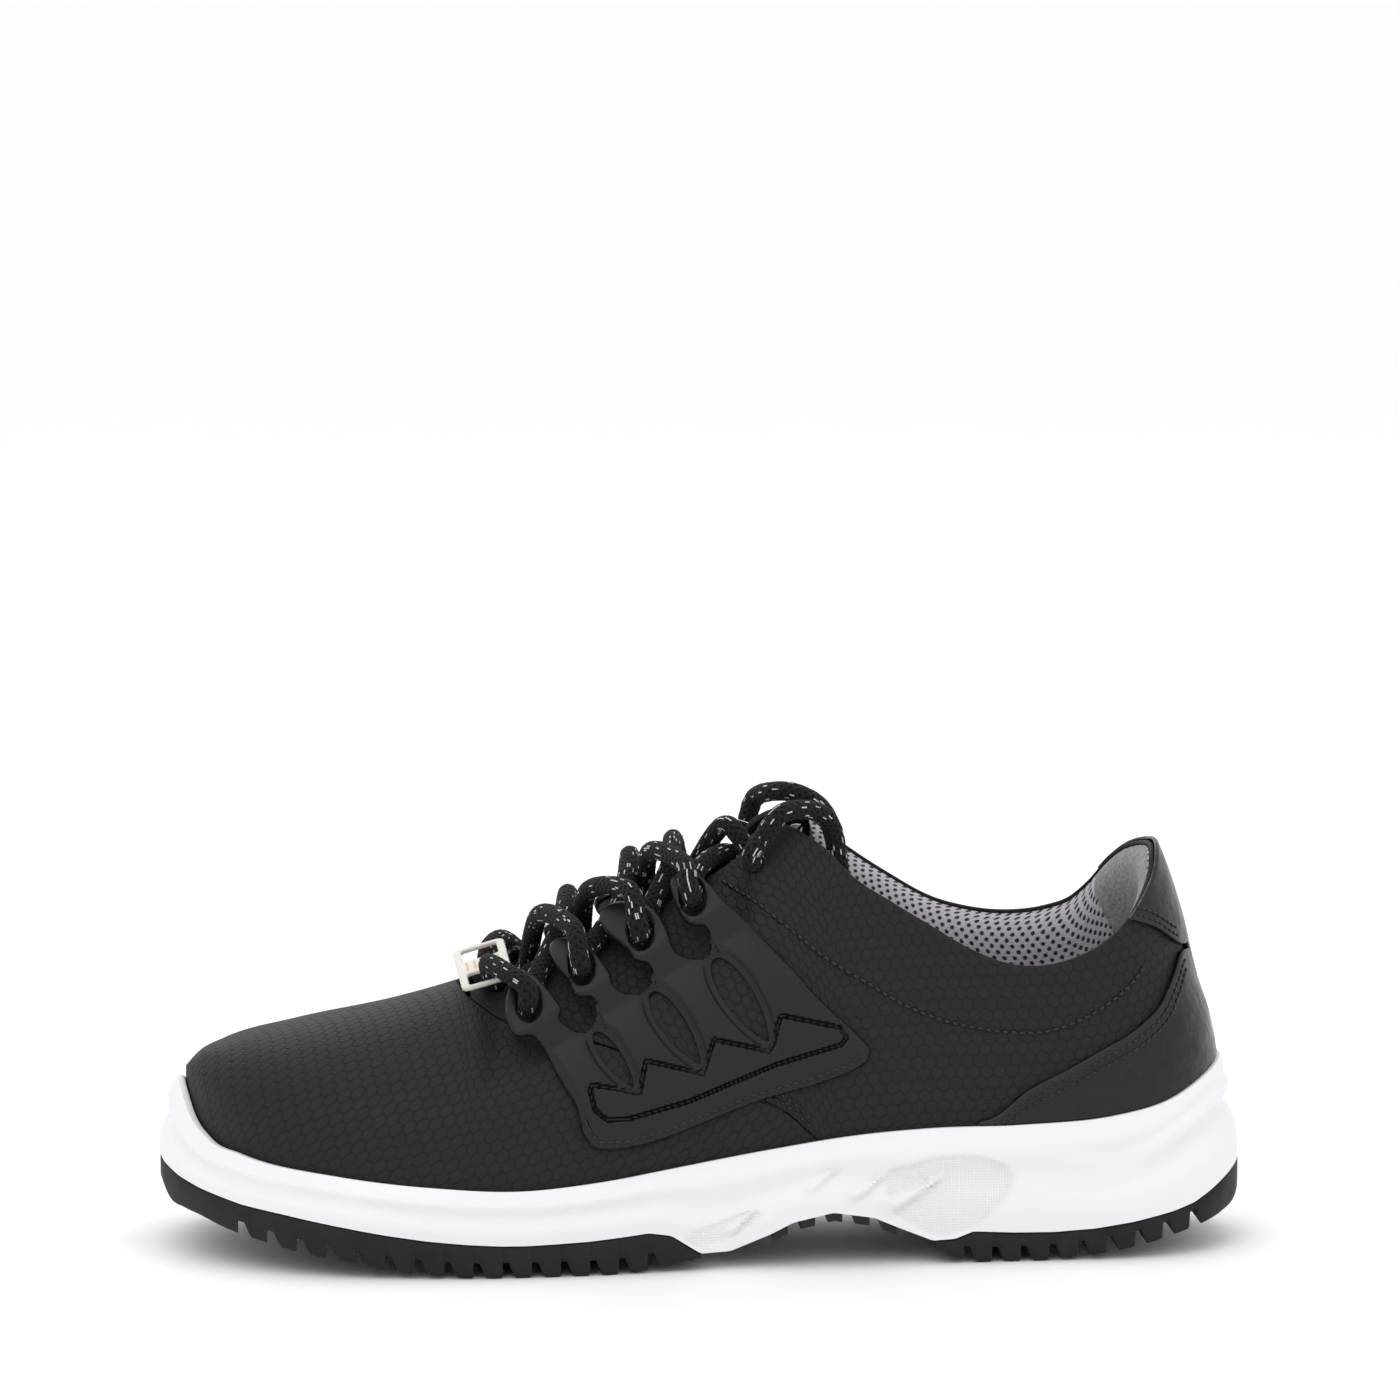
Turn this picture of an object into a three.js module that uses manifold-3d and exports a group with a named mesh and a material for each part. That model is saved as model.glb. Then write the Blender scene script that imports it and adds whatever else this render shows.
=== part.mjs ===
// Low lace-up golf shoe for the left foot, EU 42, as the separate pieces a shoemaker joins.
// Millimetres. Toe towards -X, heel towards +X, outer side of the foot at -Y, the ground at Z = 0.

import * as THREE from 'three';
import { mergeVertices } from 'three/addons/utils/BufferGeometryUtils.js';
import Module from 'manifold-3d';

const wasm = await Module();
wasm.setup();

// ---- Driving dimensions ----

const lastLength = 281; // the upper from toe to heel, at the insole
const lastBallWidth = 99; // the upper across the ball of the foot
const soleWelt = 7.5; // how far the sole stands past the upper at the toe and at the heel
const fit = 0.4; // clearance between neighbouring pieces

const upperWall = 1.5;
const stiffenerWall = 0.9;
const puffWall = 0.7;
const liningWall = 1.0;
const foamWall = 3.0;
const tongueWall = 3.5;
const overlayWall = 1.2;
const cageWall = 2.4;
const boardWall = 1.8;
const footbedWall = 4.2;
const rimWall = 2.2; // top edge of the midsole cup
const lugDepth = 3.9;
const lugPitch = 7.8;
const lugLength = 4.4;
const shankWall = 1.0;
const shankRibDepth = 1.0;
const laceDiameter = 5.5;
const eyeletPressDepth = 2.5; // how far the tied lace presses the upper in along the eyelets
// How far the cage's fingers stand off the upper, to let the lace run back under their tips.
const fingerLift = 3.2;
const aglet = { diameter: 4.4, length: 20 };
const tag = { length: 14.5, width: 27, wall: 1.3, corner: 2, slotLength: 10, slotWidth: 8, slotCentre: 8.2 };

// ---- Grading: every station along the shoe is written for the base size and graded with it ----

const baseLength = 281;
const baseBallWidth = 99;
const lengthGrade = lastLength / baseLength;
const widthGrade = lastBallWidth / baseBallWidth;
const lastHalf = lastLength / 2;
const soleHalf = lastHalf + soleWelt;

// Smooth curve through a few stations: cubic pieces whose slopes are the weighted mean of their neighbours'.
function curve(points) {
  const slopes = points.slice(1).map(([x, y], i) => (y - points[i][1]) / (x - points[i][0]));
  const tangents = points.map((point, i) => {
    if (i === 0) return slopes[0];
    if (i === slopes.length) return slopes[i - 1];
    const before = point[0] - points[i - 1][0];
    const after = points[i + 1][0] - point[0];
    return (slopes[i - 1] * after + slopes[i] * before) / (before + after);
  });
  return (station) => {
    const x = THREE.MathUtils.clamp(station, points[0][0], points.at(-1)[0]);
    const i = Math.max(0, points.findIndex((point, k) => k > 0 && x <= point[0]) - 1);
    const [x0, y0] = points[i];
    const [x1, y1] = points[i + 1];
    const span = x1 - x0;
    const t = (x - x0) / span;
    const start = (2 * t ** 3 - 3 * t ** 2 + 1) * y0 + (t ** 3 - 2 * t ** 2 + t) * span * tangents[i];
    return start + (3 * t ** 2 - 2 * t ** 3) * y1 + (t ** 3 - t ** 2) * span * tangents[i + 1];
  };
}

// Straight lines through a few stations.
function polyline(points) {
  return (station) => {
    const x = THREE.MathUtils.clamp(station, points[0][0], points.at(-1)[0]);
    const i = Math.max(0, points.findIndex((point, k) => k > 0 && x <= point[0]) - 1);
    const t = (x - points[i][0]) / (points[i + 1][0] - points[i][0]);
    return points[i][1] + t * (points[i + 1][1] - points[i][1]);
  };
}

const graded = (shape) => (x) => shape(x / lengthGrade);
const smooth = (t) => THREE.MathUtils.smoothstep(t, 0, 1);

// ---- The last: the foot-shaped form that the upper is pulled over ----
// A cross-section at station X is a superellipse arch from the insole level up to a ridge level:
// half width times (1 - h^shoulder)^(1/crown), where h runs from 0 at the insole to 1 at the ridge.

const halfWidth = graded(curve([
  [-140.5, 44], [-115, 47.5], [-90, 49.5], [-65, 49.5], [-35, 45], [0, 38], [35, 34.5], [70, 34],
  [140.5, 34.5]]));
const centreLine = graded(curve([
  [-140.5, 8], [-110, 4], [-75, 0], [-40, -2.5], [0, -4], [40, -4], [80, -2.5], [120, -1], [140.5, -1]]));
const insoleLevel = graded(curve([
  [-140.5, 26], [-115, 18.5], [-90, 15], [-60, 13], [-30, 14], [0, 18.5], [30, 23.5], [60, 26],
  [100, 27], [140.5, 30]]));
const ridgeLevel = graded(curve([
  [-140.5, 48], [-137, 51.5], [-130, 55], [-110, 60.5], [-82, 67], [-66, 72], [-40, 83.5], [-10, 101],
  [20, 122], [50, 142], [90, 160], [140.5, 170]]));
const shoulder = graded(curve([
  [-140.5, 3.2], [-110, 2.6], [-70, 2.1], [-20, 1.8], [30, 1.7], [80, 1.8], [140.5, 2]]));
const crown = graded(curve([
  [-140.5, 2.6], [-110, 2.4], [-70, 2.1], [-20, 1.8], [30, 1.7], [80, 1.8], [140.5, 1.9]]));

// How far the heel curve stands behind the heel seat, by height.
const heelCurve = curve([
  [20, -3.5], [30, -1.8], [40, 0], [50, 0], [62, -2.2], [71, -5.2], [91, -10.2], [104, -14.6], [120, -22]]);

const toeRound = 62;
const heelRound = 42;
function planRound(x, half, toe, heel) {
  const fromToe = THREE.MathUtils.clamp((x + half) / (toe * lengthGrade), 0, 1);
  const fromHeel = THREE.MathUtils.clamp((half - x) / (heel * lengthGrade), 0, 1);
  return Math.sqrt(1 - (1 - fromToe) ** 2.5) * (1 - (1 - fromHeel) ** 2.3) ** (1 / 2.1);
}

// theta runs round the foot: -PI at the heel, outer side, 0 at the toe, inner side, +PI at the heel.
// phi runs from 0 at the insole over the ridge at PI / 2 and on down the other side.
function lastPoint(theta, phi) {
  const x = -lastHalf * Math.cos(theta);
  const h = Math.min(1, Math.sin(phi));
  const side = Math.sign(Math.sin(theta)) * Math.sign(Math.cos(phi));
  const reach = halfWidth(x) * widthGrade * planRound(x, lastHalf, toeRound, heelRound);
  const y = centreLine(x) + side * reach * (1 - Math.abs(h) ** shoulder(x)) ** (1 / crown(x));
  const z = insoleLevel(x) + h * (ridgeLevel(x) - insoleLevel(x));
  const heelShare = smooth((x - 45 * lengthGrade) / (lastHalf - 45 * lengthGrade));
  return new THREE.Vector3(x + heelCurve(z) * heelShare, y, z);
}

const probe = 1e-3;
function lastNormal(theta, phi) {
  const along = lastPoint(theta + probe, phi).sub(lastPoint(theta - probe, phi));
  const up = lastPoint(theta, phi + probe).sub(lastPoint(theta, phi - probe));
  return up.cross(along).normalize();
}

// A point of the upper, pushed out by the given distance. The ridge is the same from both sides, and the
// tip where it meets the toe leans as the ridge just behind it does.
const ridgeTipTurn = 0.05;
function skin(theta, phi, out) {
  const turn = Math.abs(phi - Math.PI / 2) < 1e-6 ? Math.abs(theta) : theta;
  const point = lastPoint(turn, phi);
  const distance = typeof out === 'function' ? out(point) : out;
  const onRidge = turn !== theta || turn === 0;
  const normalTurn = onRidge && phi > 1.5 ? Math.max(turn, ridgeTipTurn) : turn;
  return point.addScaledVector(lastNormal(normalTurn, phi), distance);
}

function phiAtHeight(x, z) {
  return Math.asin(THREE.MathUtils.clamp((z - insoleLevel(x)) / (ridgeLevel(x) - insoleLevel(x)), 0, 1));
}

function phiAtReach(x, y) {
  const share = Math.min(1, y / (halfWidth(x) * widthGrade * planRound(x, lastHalf, toeRound, heelRound)));
  return Math.asin((1 - share ** crown(x)) ** (1 / shoulder(x)));
}

// The row of lace eyelets climbs the side of the instep; the tied lace presses the upper in along it.
const eyeletRow = (x) => 67.3 + (x / lengthGrade + 47) * 0.593;
function pressedIn(point) {
  const x = point.x / lengthGrade;
  const band = smooth((point.z - eyeletRow(point.x) + 15) / 9);
  return eyeletPressDepth * band * smooth((x + 64) / 8) * smooth((16 - x) / 10);
}
const upperAt = (distance) => (point) => distance - pressedIn(point);

// ---- Layers of the upper, from the outside in ----

const stiffenerOut = -(upperWall + fit);
const liningOut = stiffenerOut - stiffenerWall - fit;
const collarLiningOut = liningOut - foamWall - fit;
const tongueClearance = 1.4;
const tongueOut = liningOut - liningWall - tongueClearance;

// ---- Edge lines of the upper, as heights by station ----

const featherLine = graded(curve([
  [-140.5, 45], [-138, 38], [-133, 32], [-125, 29.5], [-100, 26], [-75, 23.5], [-50, 22.3], [-30, 24],
  [-10, 27], [15, 31], [40, 34.5], [60, 36], [85, 36.5], [110, 38.5], [125, 42], [135, 47],
  [140.5, 50]]));
const outerTopline = graded(curve([
  [12, 113], [20, 116.2], [25, 115.2], [28, 113.5], [33.6, 109.5], [38, 104.8], [51, 96.1], [60, 91],
  [73, 84], [83, 80.4], [94, 79.5], [106, 81.9], [115, 85.5], [123, 90.4], [131, 97.2], [136, 102.5],
  [140.5, 108.7]]));
const innerTopline = graded(curve([
  [12, 114.5], [20, 118.2], [26, 118], [30, 116], [34, 113], [38, 109], [44, 104.3], [55, 97.1],
  [66, 91.1], [79, 87.4], [92, 86.1], [105, 87.3], [112, 89.3], [119, 93.7], [128, 101.3], [134, 105.5],
  [140.5, 108.7]]));
const throatGap = graded(curve([
  [-66, 0.5], [-64, 7], [-60, 11.5], [-53, 14.5], [-44, 13.5], [-36, 11.5], [-19, 10], [12, 9.2]]));
const vampSeam = graded(curve([
  [-66, 72], [-64.5, 70.5], [-60, 68.5], [-40, 63], [-20, 57], [0, 50], [14, 44.3], [19, 42],
  [29.6, 32.4], [36, 24]]));
const foxingEdge = graded(curve([
  [72, 37.6], [76, 38.6], [86, 46], [96, 51], [107, 56.6], [118, 62], [127.5, 68.5], [133.6, 75.5],
  [137.3, 80.2], [139, 80.2]]));
const tabEdge = graded(curve([[123, 91], [131, 87.6], [138, 81.8], [140.5, 81.2]]));

const throatBase = -66 * lengthGrade;
const facingTop = 12 * lengthGrade;
const vampEnd = 34 * lengthGrade;

function toplinePhi(x, inner) {
  if (x < facingTop) return phiAtReach(x, throatGap(x) * widthGrade);
  return phiAtHeight(x, inner ? innerTopline(x) : outerTopline(x));
}

// ---- Stations: one set round the shoe, shared by every piece, so neighbouring facets nest ----

const soleProfile = [
  [-148, 25.2], [-146.5, 23.6], [-142.5, 21.6], [-137, 19.9], [-126, 17.5], [-115, 16.1], [-98.7, 13.5],
  [-87.7, 11.7], [-76.7, 10.2], [-65.8, 9.2], [-57, 8.7], [-50, 8.6], [-41.5, 8.9], [-33, 9.3],
  [-25, 10], [-17, 10.8], [-11, 9.8], [-3, 4.6], [5, 5], [16, 9.3], [22, 12.3], [33, 14.7], [44, 13],
  [49, 10.8], [60, 6.3], [66, 6.6], [71, 8.5], [82, 7.9], [93, 7.8], [104, 8.5], [115, 10.1],
  [126, 12.3], [132, 14], [137, 16.5], [142.5, 19.7], [146.5, 22], [148, 23.3]];
const soleGrade = soleHalf / 148;
const midsoleUnderside = (x) => polyline(soleProfile)(x / soleGrade);
const soleStations = soleProfile.map(([x]) => x * soleGrade);
const halfTurns = soleStations.map((x) => Math.acos(THREE.MathUtils.clamp(-x / soleHalf, -1, 1)));
const fullTurns = [...halfTurns.slice(1).reverse().map((theta) => -theta), ...halfTurns.slice(0, -1)];
const stationX = (theta) => -lastHalf * Math.cos(theta);

// The stations from one to another, with both ends exactly where they are asked for.
function turnsBetween(fromX, toX) {
  const inside = halfTurns.filter((theta) => stationX(theta) > fromX + 0.6 && stationX(theta) < toX - 0.6);
  return [Math.acos(-fromX / lastHalf), ...inside, Math.acos(-toX / lastHalf)];
}

// ---- Solids from grids of points ----

const steps = (count) => Array.from({ length: count + 1 }, (_, i) => i / count);
const mix = THREE.MathUtils.lerp;

// Joins points that coincide and lists the triangles of a grid, given as columns of points.
function weldGrid(columns, wrap) {
  const places = new Map();
  const points = [];
  const ids = columns.map((column, c) => column.map((point, r) => {
    const key = point.toArray().map((value) => Math.round(value * 1e4)).join();
    if (!places.has(key)) {
      places.set(key, points.length);
      points.push([c, r]);
    }
    return places.get(key);
  }));
  const triangles = [];
  const last = wrap ? ids.length : ids.length - 1;
  for (let c = 0; c < last; c += 1) {
    const next = ids[(c + 1) % ids.length];
    for (let r = 0; r < ids[c].length - 1; r += 1) {
      const [a, b, d, e] = [ids[c][r], ids[c][r + 1], next[r + 1], next[r]];
      triangles.push([a, b, d], [a, d, e]);
    }
  }
  return { points, triangles: triangles.filter(([a, b, d]) => a !== b && b !== d && d !== a) };
}

function geometryOf(vectors, triangles) {
  const geometry = new THREE.BufferGeometry();
  geometry.setAttribute('position', new THREE.Float32BufferAttribute(vectors.flatMap((v) => v.toArray()), 3));
  geometry.setIndex(triangles.flat());
  return geometry;
}

// A closed wall between an outer grid and a matching inner one, with its borders walled in.
function shell(outer, inner) {
  const { points, triangles } = weldGrid(outer, false);
  const count = points.length;
  const edges = new Set(triangles.flatMap(([a, b, d]) => [`${a},${b}`, `${b},${d}`, `${d},${a}`]));
  const borders = [...edges].map((edge) => edge.split(',').map(Number))
    .filter(([a, b]) => !edges.has(`${b},${a}`));
  const walls = borders.flatMap(([a, b]) => [[b, a, a + count], [b, a + count, b + count]]);
  const backs = triangles.map(([a, b, d]) => [a + count, d + count, b + count]);
  const vectors = [...points.map(([c, r]) => outer[c][r]), ...points.map(([c, r]) => inner[c][r])];
  return geometryOf(vectors, [...triangles, ...backs, ...walls]);
}

// A closed body of profiles carried round the shoe; each profile starts and ends on the centre line.
function ringBody(columns) {
  const { points, triangles } = weldGrid(columns, true);
  return geometryOf(points.map(([c, r]) => columns[c][r]), triangles);
}

// A wall of the upper over a range of stations. rows(x, inner) lists the phi values of one column.
function upperShell(turns, rows, outside, inside) {
  const column = (distance) => (theta) =>
    rows(stationX(theta), theta > 0).map((phi) => skin(theta, phi, distance));
  return shell(turns.map(column(outside)), turns.map(column(inside)));
}

// The rows of a column: the insole, the feather line and even steps up to the top edge.
function risingRows(x, lowPhi, highPhi, count) {
  const feather = Math.max(phiAtHeight(x, featherLine(x)), lowPhi + 0.02);
  const start = Math.min(feather, mix(lowPhi, highPhi, 0.5));
  return [lowPhi, ...steps(count).map((t) => mix(start, highPhi, t))];
}

// ---- Manifold solids, for the pieces that are cut to an outline ----

function toSolid(geometry) {
  const bare = geometry.clone();
  bare.deleteAttribute('normal');
  bare.deleteAttribute('uv');
  const merged = mergeVertices(bare, 1e-4);
  return new wasm.Manifold(new wasm.Mesh({
    numProp: 3,
    vertProperties: new Float32Array(merged.attributes.position.array),
    triVerts: new Uint32Array(merged.index.array),
  }));
}

function toGeometry(solid) {
  const mesh = solid.getMesh();
  const geometry = new THREE.BufferGeometry();
  geometry.setAttribute('position', new THREE.BufferAttribute(new Float32Array(mesh.vertProperties), 3));
  geometry.setIndex([...mesh.triVerts]);
  return geometry;
}

const cutterReach = 80;
// A prism through one side of the shoe, of an outline drawn in the side view (X to the right, Z up).
function sidePrism(outline, side) {
  const shape = new THREE.Shape(outline.map(([x, z]) => new THREE.Vector2(x * lengthGrade, z)));
  const prism = new THREE.ExtrudeGeometry(shape, { depth: cutterReach, bevelEnabled: false });
  prism.rotateX(Math.PI / 2);
  prism.translate(0, side > 0 ? cutterReach : 0, 0);
  return toSolid(prism);
}

// ---- Materials ----

const finish = (color, roughness, metalness = 0) => ({ color, roughness, metalness });
const finishes = {
  upper: finish(0x1b1b1d, 0.75),
  leather: finish(0x141416, 0.45),
  lining: finish(0xa9a1ab, 0.9),
  stiffener: finish(0xd8cfbe, 0.8),
  foam: finish(0xcfcab8, 0.95),
  cage: finish(0x232324, 0.6),
  midsole: finish(0xf2f2f4, 0.5),
  rubber: finish(0x121213, 0.8),
  shank: finish(0x0f0f10, 0.55),
  board: finish(0xbfb39c, 0.9),
  footbed: finish(0x4a4a4f, 0.9),
  lace: finish(0x0d0d0e, 0.85),
  plastic: finish(0xdadad6, 0.25),
  aglet: finish(0x0b0b0c, 0.3),
};

const shoe = new THREE.Group();
shoe.name = 'golf_shoe';

function add(name, geometry, look) {
  const mesh = new THREE.Mesh(geometry, new THREE.MeshStandardMaterial(finishes[look]));
  mesh.name = name;
  shoe.add(mesh);
  return mesh;
}

// ---- Sole: rubber outsoles, arch shank and the moulded midsole cup ----

const soleHalfWidth = (x) => widthGrade * curve([
  [-148, 47], [-115, 51], [-90, 53], [-65, 53], [-35, 49.5], [0, 42.5], [35, 40], [70, 38],
  [148, 38.5]])(x / soleGrade);
const soleReach = (x) => soleHalfWidth(x) * planRound(x, soleHalf, toeRound, heelRound);
const soleCentre = (x) => centreLine(x * lastHalf / soleHalf);
const treadLevel = (x) => Math.max(0, curve([
  [-148, 20], [-145.3, 14.8], [-141, 13.2], [-137, 12.4], [-131, 10.5], [-120, 8], [-110, 6], [-97, 3.9],
  [-88, 2.3], [-77, 1.2], [-62, 0], [-28, 0], [-17, 0.8], [-10, 2.1], [-3, 3.6], [60, 5], [64, 2.4],
  [72, 0], [90, 0], [99, 0.8], [107, 1.7], [115, 3], [122, 4.6], [133, 7.4], [137, 8.4], [141, 9.8],
  [146, 12.5], [148, 15]])(x / soleGrade));

// A bar across the shoe from a list of stations, each with its half width and its two levels.
function crossBar(stations) {
  const columns = stations.map(({ x, reach, low, high }) => {
    const centre = soleCentre(x);
    const corners = [[-reach, low], [reach, low], [reach, high], [-reach, high]];
    return corners.map(([y, z]) => new THREE.Vector3(x, centre + y, z));
  });
  const triangles = [[0, 1, 2], [0, 2, 3]];
  for (let c = 0; c < columns.length - 1; c += 1) {
    for (let k = 0; k < 4; k += 1) {
      const [a, b] = [4 * c + k, 4 * c + ((k + 1) % 4)];
      triangles.push([a, a + 4, b + 4], [a, b + 4, b]);
    }
  }
  const end = 4 * (columns.length - 1);
  triangles.push([end, end + 2, end + 1], [end, end + 3, end + 2]);
  return geometryOf(columns.flat(), triangles.map(([a, b, d]) => [a, d, b]));
}

const lugDraft = 0.6; // each lug face leans by this much over its depth
const leastRubber = 1.1;
const endInset = 0.4; // the bar's end face, a little short of the outline's tip

// The stations of a lugged outsole: plain ends, then lugs and grooves in turn.
function lugStations(fromX, toX, lugsFrom, lugsTo) {
  const groove = (x) => Math.min(treadLevel(x) + lugDepth, midsoleUnderside(x) - fit - leastRubber);
  const marks = soleStations.filter((x) => x > fromX + 0.3 && x < toX - 0.3).map((x) => ({ x, cut: false }));
  const ends = [{ x: fromX, cut: false }, { x: toX, cut: false }];
  const cuts = [];
  for (let x = lugsFrom + lugLength; x + lugPitch - lugLength < lugsTo; x += lugPitch) {
    cuts.push([x, x + lugPitch - lugLength]);
  }
  const edges = cuts.flatMap(([a, b]) => [
    { x: a, cut: false },
    { x: a + lugDraft, cut: true },
    { x: b - lugDraft, cut: true },
    { x: b, cut: false }]);
  const inGroove = (x) => cuts.some(([a, b]) => x > a && x < b);
  const isNear = (x, wall) => Math.abs(x - wall) < lugDraft + 0.2;
  const onSlope = (x) => cuts.some(([a, b]) => isNear(x, a) || isNear(x, b));
  const kept = marks.filter(({ x }) => !onSlope(x)).map(({ x }) => ({ x, cut: inGroove(x) }));
  return [...kept, ...ends, ...edges].sort((p, q) => p.x - q.x).map(({ x, cut }) => ({
    x,
    reach: soleReach(x),
    low: cut ? groove(x) : Math.min(treadLevel(x), groove(x)),
    high: midsoleUnderside(x) - fit,
  }));
}

const forefootStations = lugStations(-soleHalf + endInset, -3 * soleGrade, -131 * soleGrade, -8 * soleGrade);
add('outsole_forefoot', crossBar(forefootStations), 'rubber');
const heelStations = lugStations(61 * soleGrade, soleHalf - endInset, 64 * soleGrade, 141 * soleGrade);
add('outsole_heel', crossBar(heelStations), 'rubber');

// The shank bridges the open waist under the midsole; the ends of its cross ribs reach the side of the sole.
const shankInset = 8;
const ribInset = 0.8;
const ribPitch = 7.4;
const ribLength = 3.9;
const ribCentre = 33.4 * soleGrade;
const ribCount = 5;
function shankStations() {
  const ribs = steps(ribCount - 1).map((t) => ribCentre + (t - 0.5) * (ribCount - 1) * ribPitch);
  const plain = (x) => ({ x, reach: soleReach(x) - shankInset, drop: shankWall });
  const ribbed = (x) => ({ x, reach: soleReach(x) - ribInset, drop: shankWall + shankRibDepth });
  const edges = ribs.flatMap((x) => [
    plain(x - ribLength / 2 - 0.3),
    ribbed(x - ribLength / 2),
    ribbed(x + ribLength / 2),
    plain(x + ribLength / 2 + 0.3)]);
  const [first, last] = [3 * soleGrade, 57.5 * soleGrade];
  const clear = (x) => edges.every((edge) => Math.abs(edge.x - x) > 0.3);
  const onRib = (x) => ribs.some((rib) => Math.abs(rib - x) < ribLength / 2);
  const marks = soleStations.filter((x) => x > first + 0.3 && x < last - 0.3 && clear(x));
  const between = marks.map((x) => (onRib(x) ? ribbed(x) : plain(x)));
  const sections = [plain(first), plain(last), ...between, ...edges].sort((p, q) => p.x - q.x);
  return sections.map(({ x, reach, drop }) => ({
    x, reach, low: midsoleUnderside(x) - fit - drop, high: midsoleUnderside(x) - fit }));
}
add('arch_shank', crossBar(shankStations()), 'shank');

const toePole = -108 * soleGrade;
const heelPole = 115 * soleGrade;
// Share of the wall's height, and how far it swells there.
const cupWallBulge = [[0.3, 0.9], [0.55, -0.1], [0.8, 1.6]];

function midsoleColumn(theta) {
  const edgeX = -soleHalf * Math.cos(theta);
  const side = Math.sign(Math.sin(theta));
  const spineX = THREE.MathUtils.clamp(edgeX, toePole, heelPole);
  const lastX = stationX(theta);
  const edgeY = soleCentre(edgeX) + side * soleReach(edgeX);
  const under = (share) => {
    const x = mix(spineX, edgeX, share);
    return new THREE.Vector3(x, mix(soleCentre(spineX), edgeY, share), midsoleUnderside(x));
  };
  const bottom = under(1);
  const feather = phiAtHeight(lastX, featherLine(lastX));
  const rimOuter = skin(theta, phiAtHeight(lastX, featherLine(lastX) - 0.8), fit + rimWall);
  const rimInner = skin(theta, feather, fit);
  const floorEdge = skin(theta, 0, fit);
  floorEdge.z = insoleLevel(lastX) - fit;
  const outward = bottom.clone().sub(new THREE.Vector3(spineX, soleCentre(spineX), bottom.z)).normalize();
  const wall = cupWallBulge.map(([share, swell]) =>
    bottom.clone().lerp(rimOuter, share).addScaledVector(outward, swell));
  const floorX = THREE.MathUtils.clamp(lastX, toePole * lastHalf / soleHalf, heelPole * lastHalf / soleHalf);
  const floorCentre = new THREE.Vector3(floorX, centreLine(floorX), insoleLevel(floorX) - fit);
  return [under(0), under(0.6), bottom, ...wall, rimOuter, rimInner, floorEdge, floorCentre];
}
add('midsole', ringBody(fullTurns.map(midsoleColumn)), 'midsole');

// ---- Inside the shoe, on the midsole: the lasting board and the removable footbed ----

// A plate that follows the insole, set in from the upper and between two heights above the insole.
function insolePlate(inset, low, high) {
  return ringBody(fullTurns.map((theta) => {
    const x = stationX(theta);
    const centreX = THREE.MathUtils.clamp(x, toePole * lastHalf / soleHalf, heelPole * lastHalf / soleHalf);
    const centre = (lift) => new THREE.Vector3(centreX, centreLine(centreX), insoleLevel(centreX) + lift);
    const edge = (lift) => {
      const point = skin(theta, 0, -inset);
      point.z = insoleLevel(x) + lift;
      return point;
    };
    return [centre(low), edge(low), edge(high), centre(high)];
  }));
}
add('lasting_board', insolePlate(upperWall + fit, 0, boardWall), 'board');
const footbedLow = boardWall + fit;
add('footbed', insolePlate(-liningOut + liningWall + 1.2, footbedLow, footbedLow + footbedWall), 'footbed');

// ---- Upper: vamp and quarters ----

const vampTurns = turnsBetween(-lastHalf + 1e-6, vampEnd);
const vampColumns = [...vampTurns.slice(1).reverse().map((theta) => -theta), 0, ...vampTurns.slice(1)];
function vampRows(x) {
  const top = x <= throatBase ? Math.PI / 2 : phiAtHeight(x, vampSeam(x));
  return risingRows(x, 0, top, 7);
}
add('vamp', upperShell(vampColumns, vampRows, upperAt(0), upperAt(-upperWall)), 'upper');

const seamGap = 0.8;
const heelEnd = Math.PI - 0.004;
function quarterTurns(side) {
  const turns = [...turnsBetween(throatBase + 2.5, lastHalf - 0.001).slice(0, -1), heelEnd];
  return side < 0 ? turns.reverse().map((theta) => -theta) : turns;
}
function quarterRows(x, inner) {
  const top = toplinePhi(x, inner);
  const low = x < vampEnd ? phiAtHeight(x, vampSeam(x) + seamGap) : 0;
  return risingRows(x, low, top, 7);
}
const topEyelet = { x: 13 * lengthGrade, row: 106.4, radius: laceDiameter / 2 + 0.7 };
function topEyeletAt(side, out) {
  return skin(side * Math.acos(-topEyelet.x / lastHalf), phiAtHeight(topEyelet.x, topEyelet.row), out);
}
function eyeletDrill(side) {
  const drill = new THREE.CylinderGeometry(topEyelet.radius, topEyelet.radius, 24, 16);
  const axis = topEyeletAt(side, 1).sub(topEyeletAt(side, 0));
  drill.applyQuaternion(new THREE.Quaternion().setFromUnitVectors(new THREE.Vector3(0, 1, 0), axis));
  drill.translate(...topEyeletAt(side, 0).toArray());
  return toSolid(drill);
}
for (const [name, side] of [['quarter_lateral', -1], ['quarter_medial', 1]]) {
  const wall = upperShell(quarterTurns(side), quarterRows, upperAt(0), upperAt(-upperWall));
  add(name, toGeometry(toSolid(wall).subtract(eyeletDrill(side))), 'upper');
}

// ---- Stiffeners between the upper and its lining ----

const innerFloor = boardWall + fit;
const puffEnd = -98.7 * soleGrade * lastHalf / soleHalf;
const puffTurns = turnsBetween(-lastHalf + 1e-6, puffEnd);
const puffColumns = [...puffTurns.slice(1).reverse().map((theta) => -theta), 0, ...puffTurns.slice(1)];
const floorPhi = (x) => phiAtHeight(x, insoleLevel(x) + innerFloor);
add('toe_puff', upperShell(puffColumns, (x) => risingRows(x, floorPhi(x), Math.PI / 2, 7),
  upperAt(stiffenerOut), upperAt(stiffenerOut - puffWall)), 'stiffener');

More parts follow.
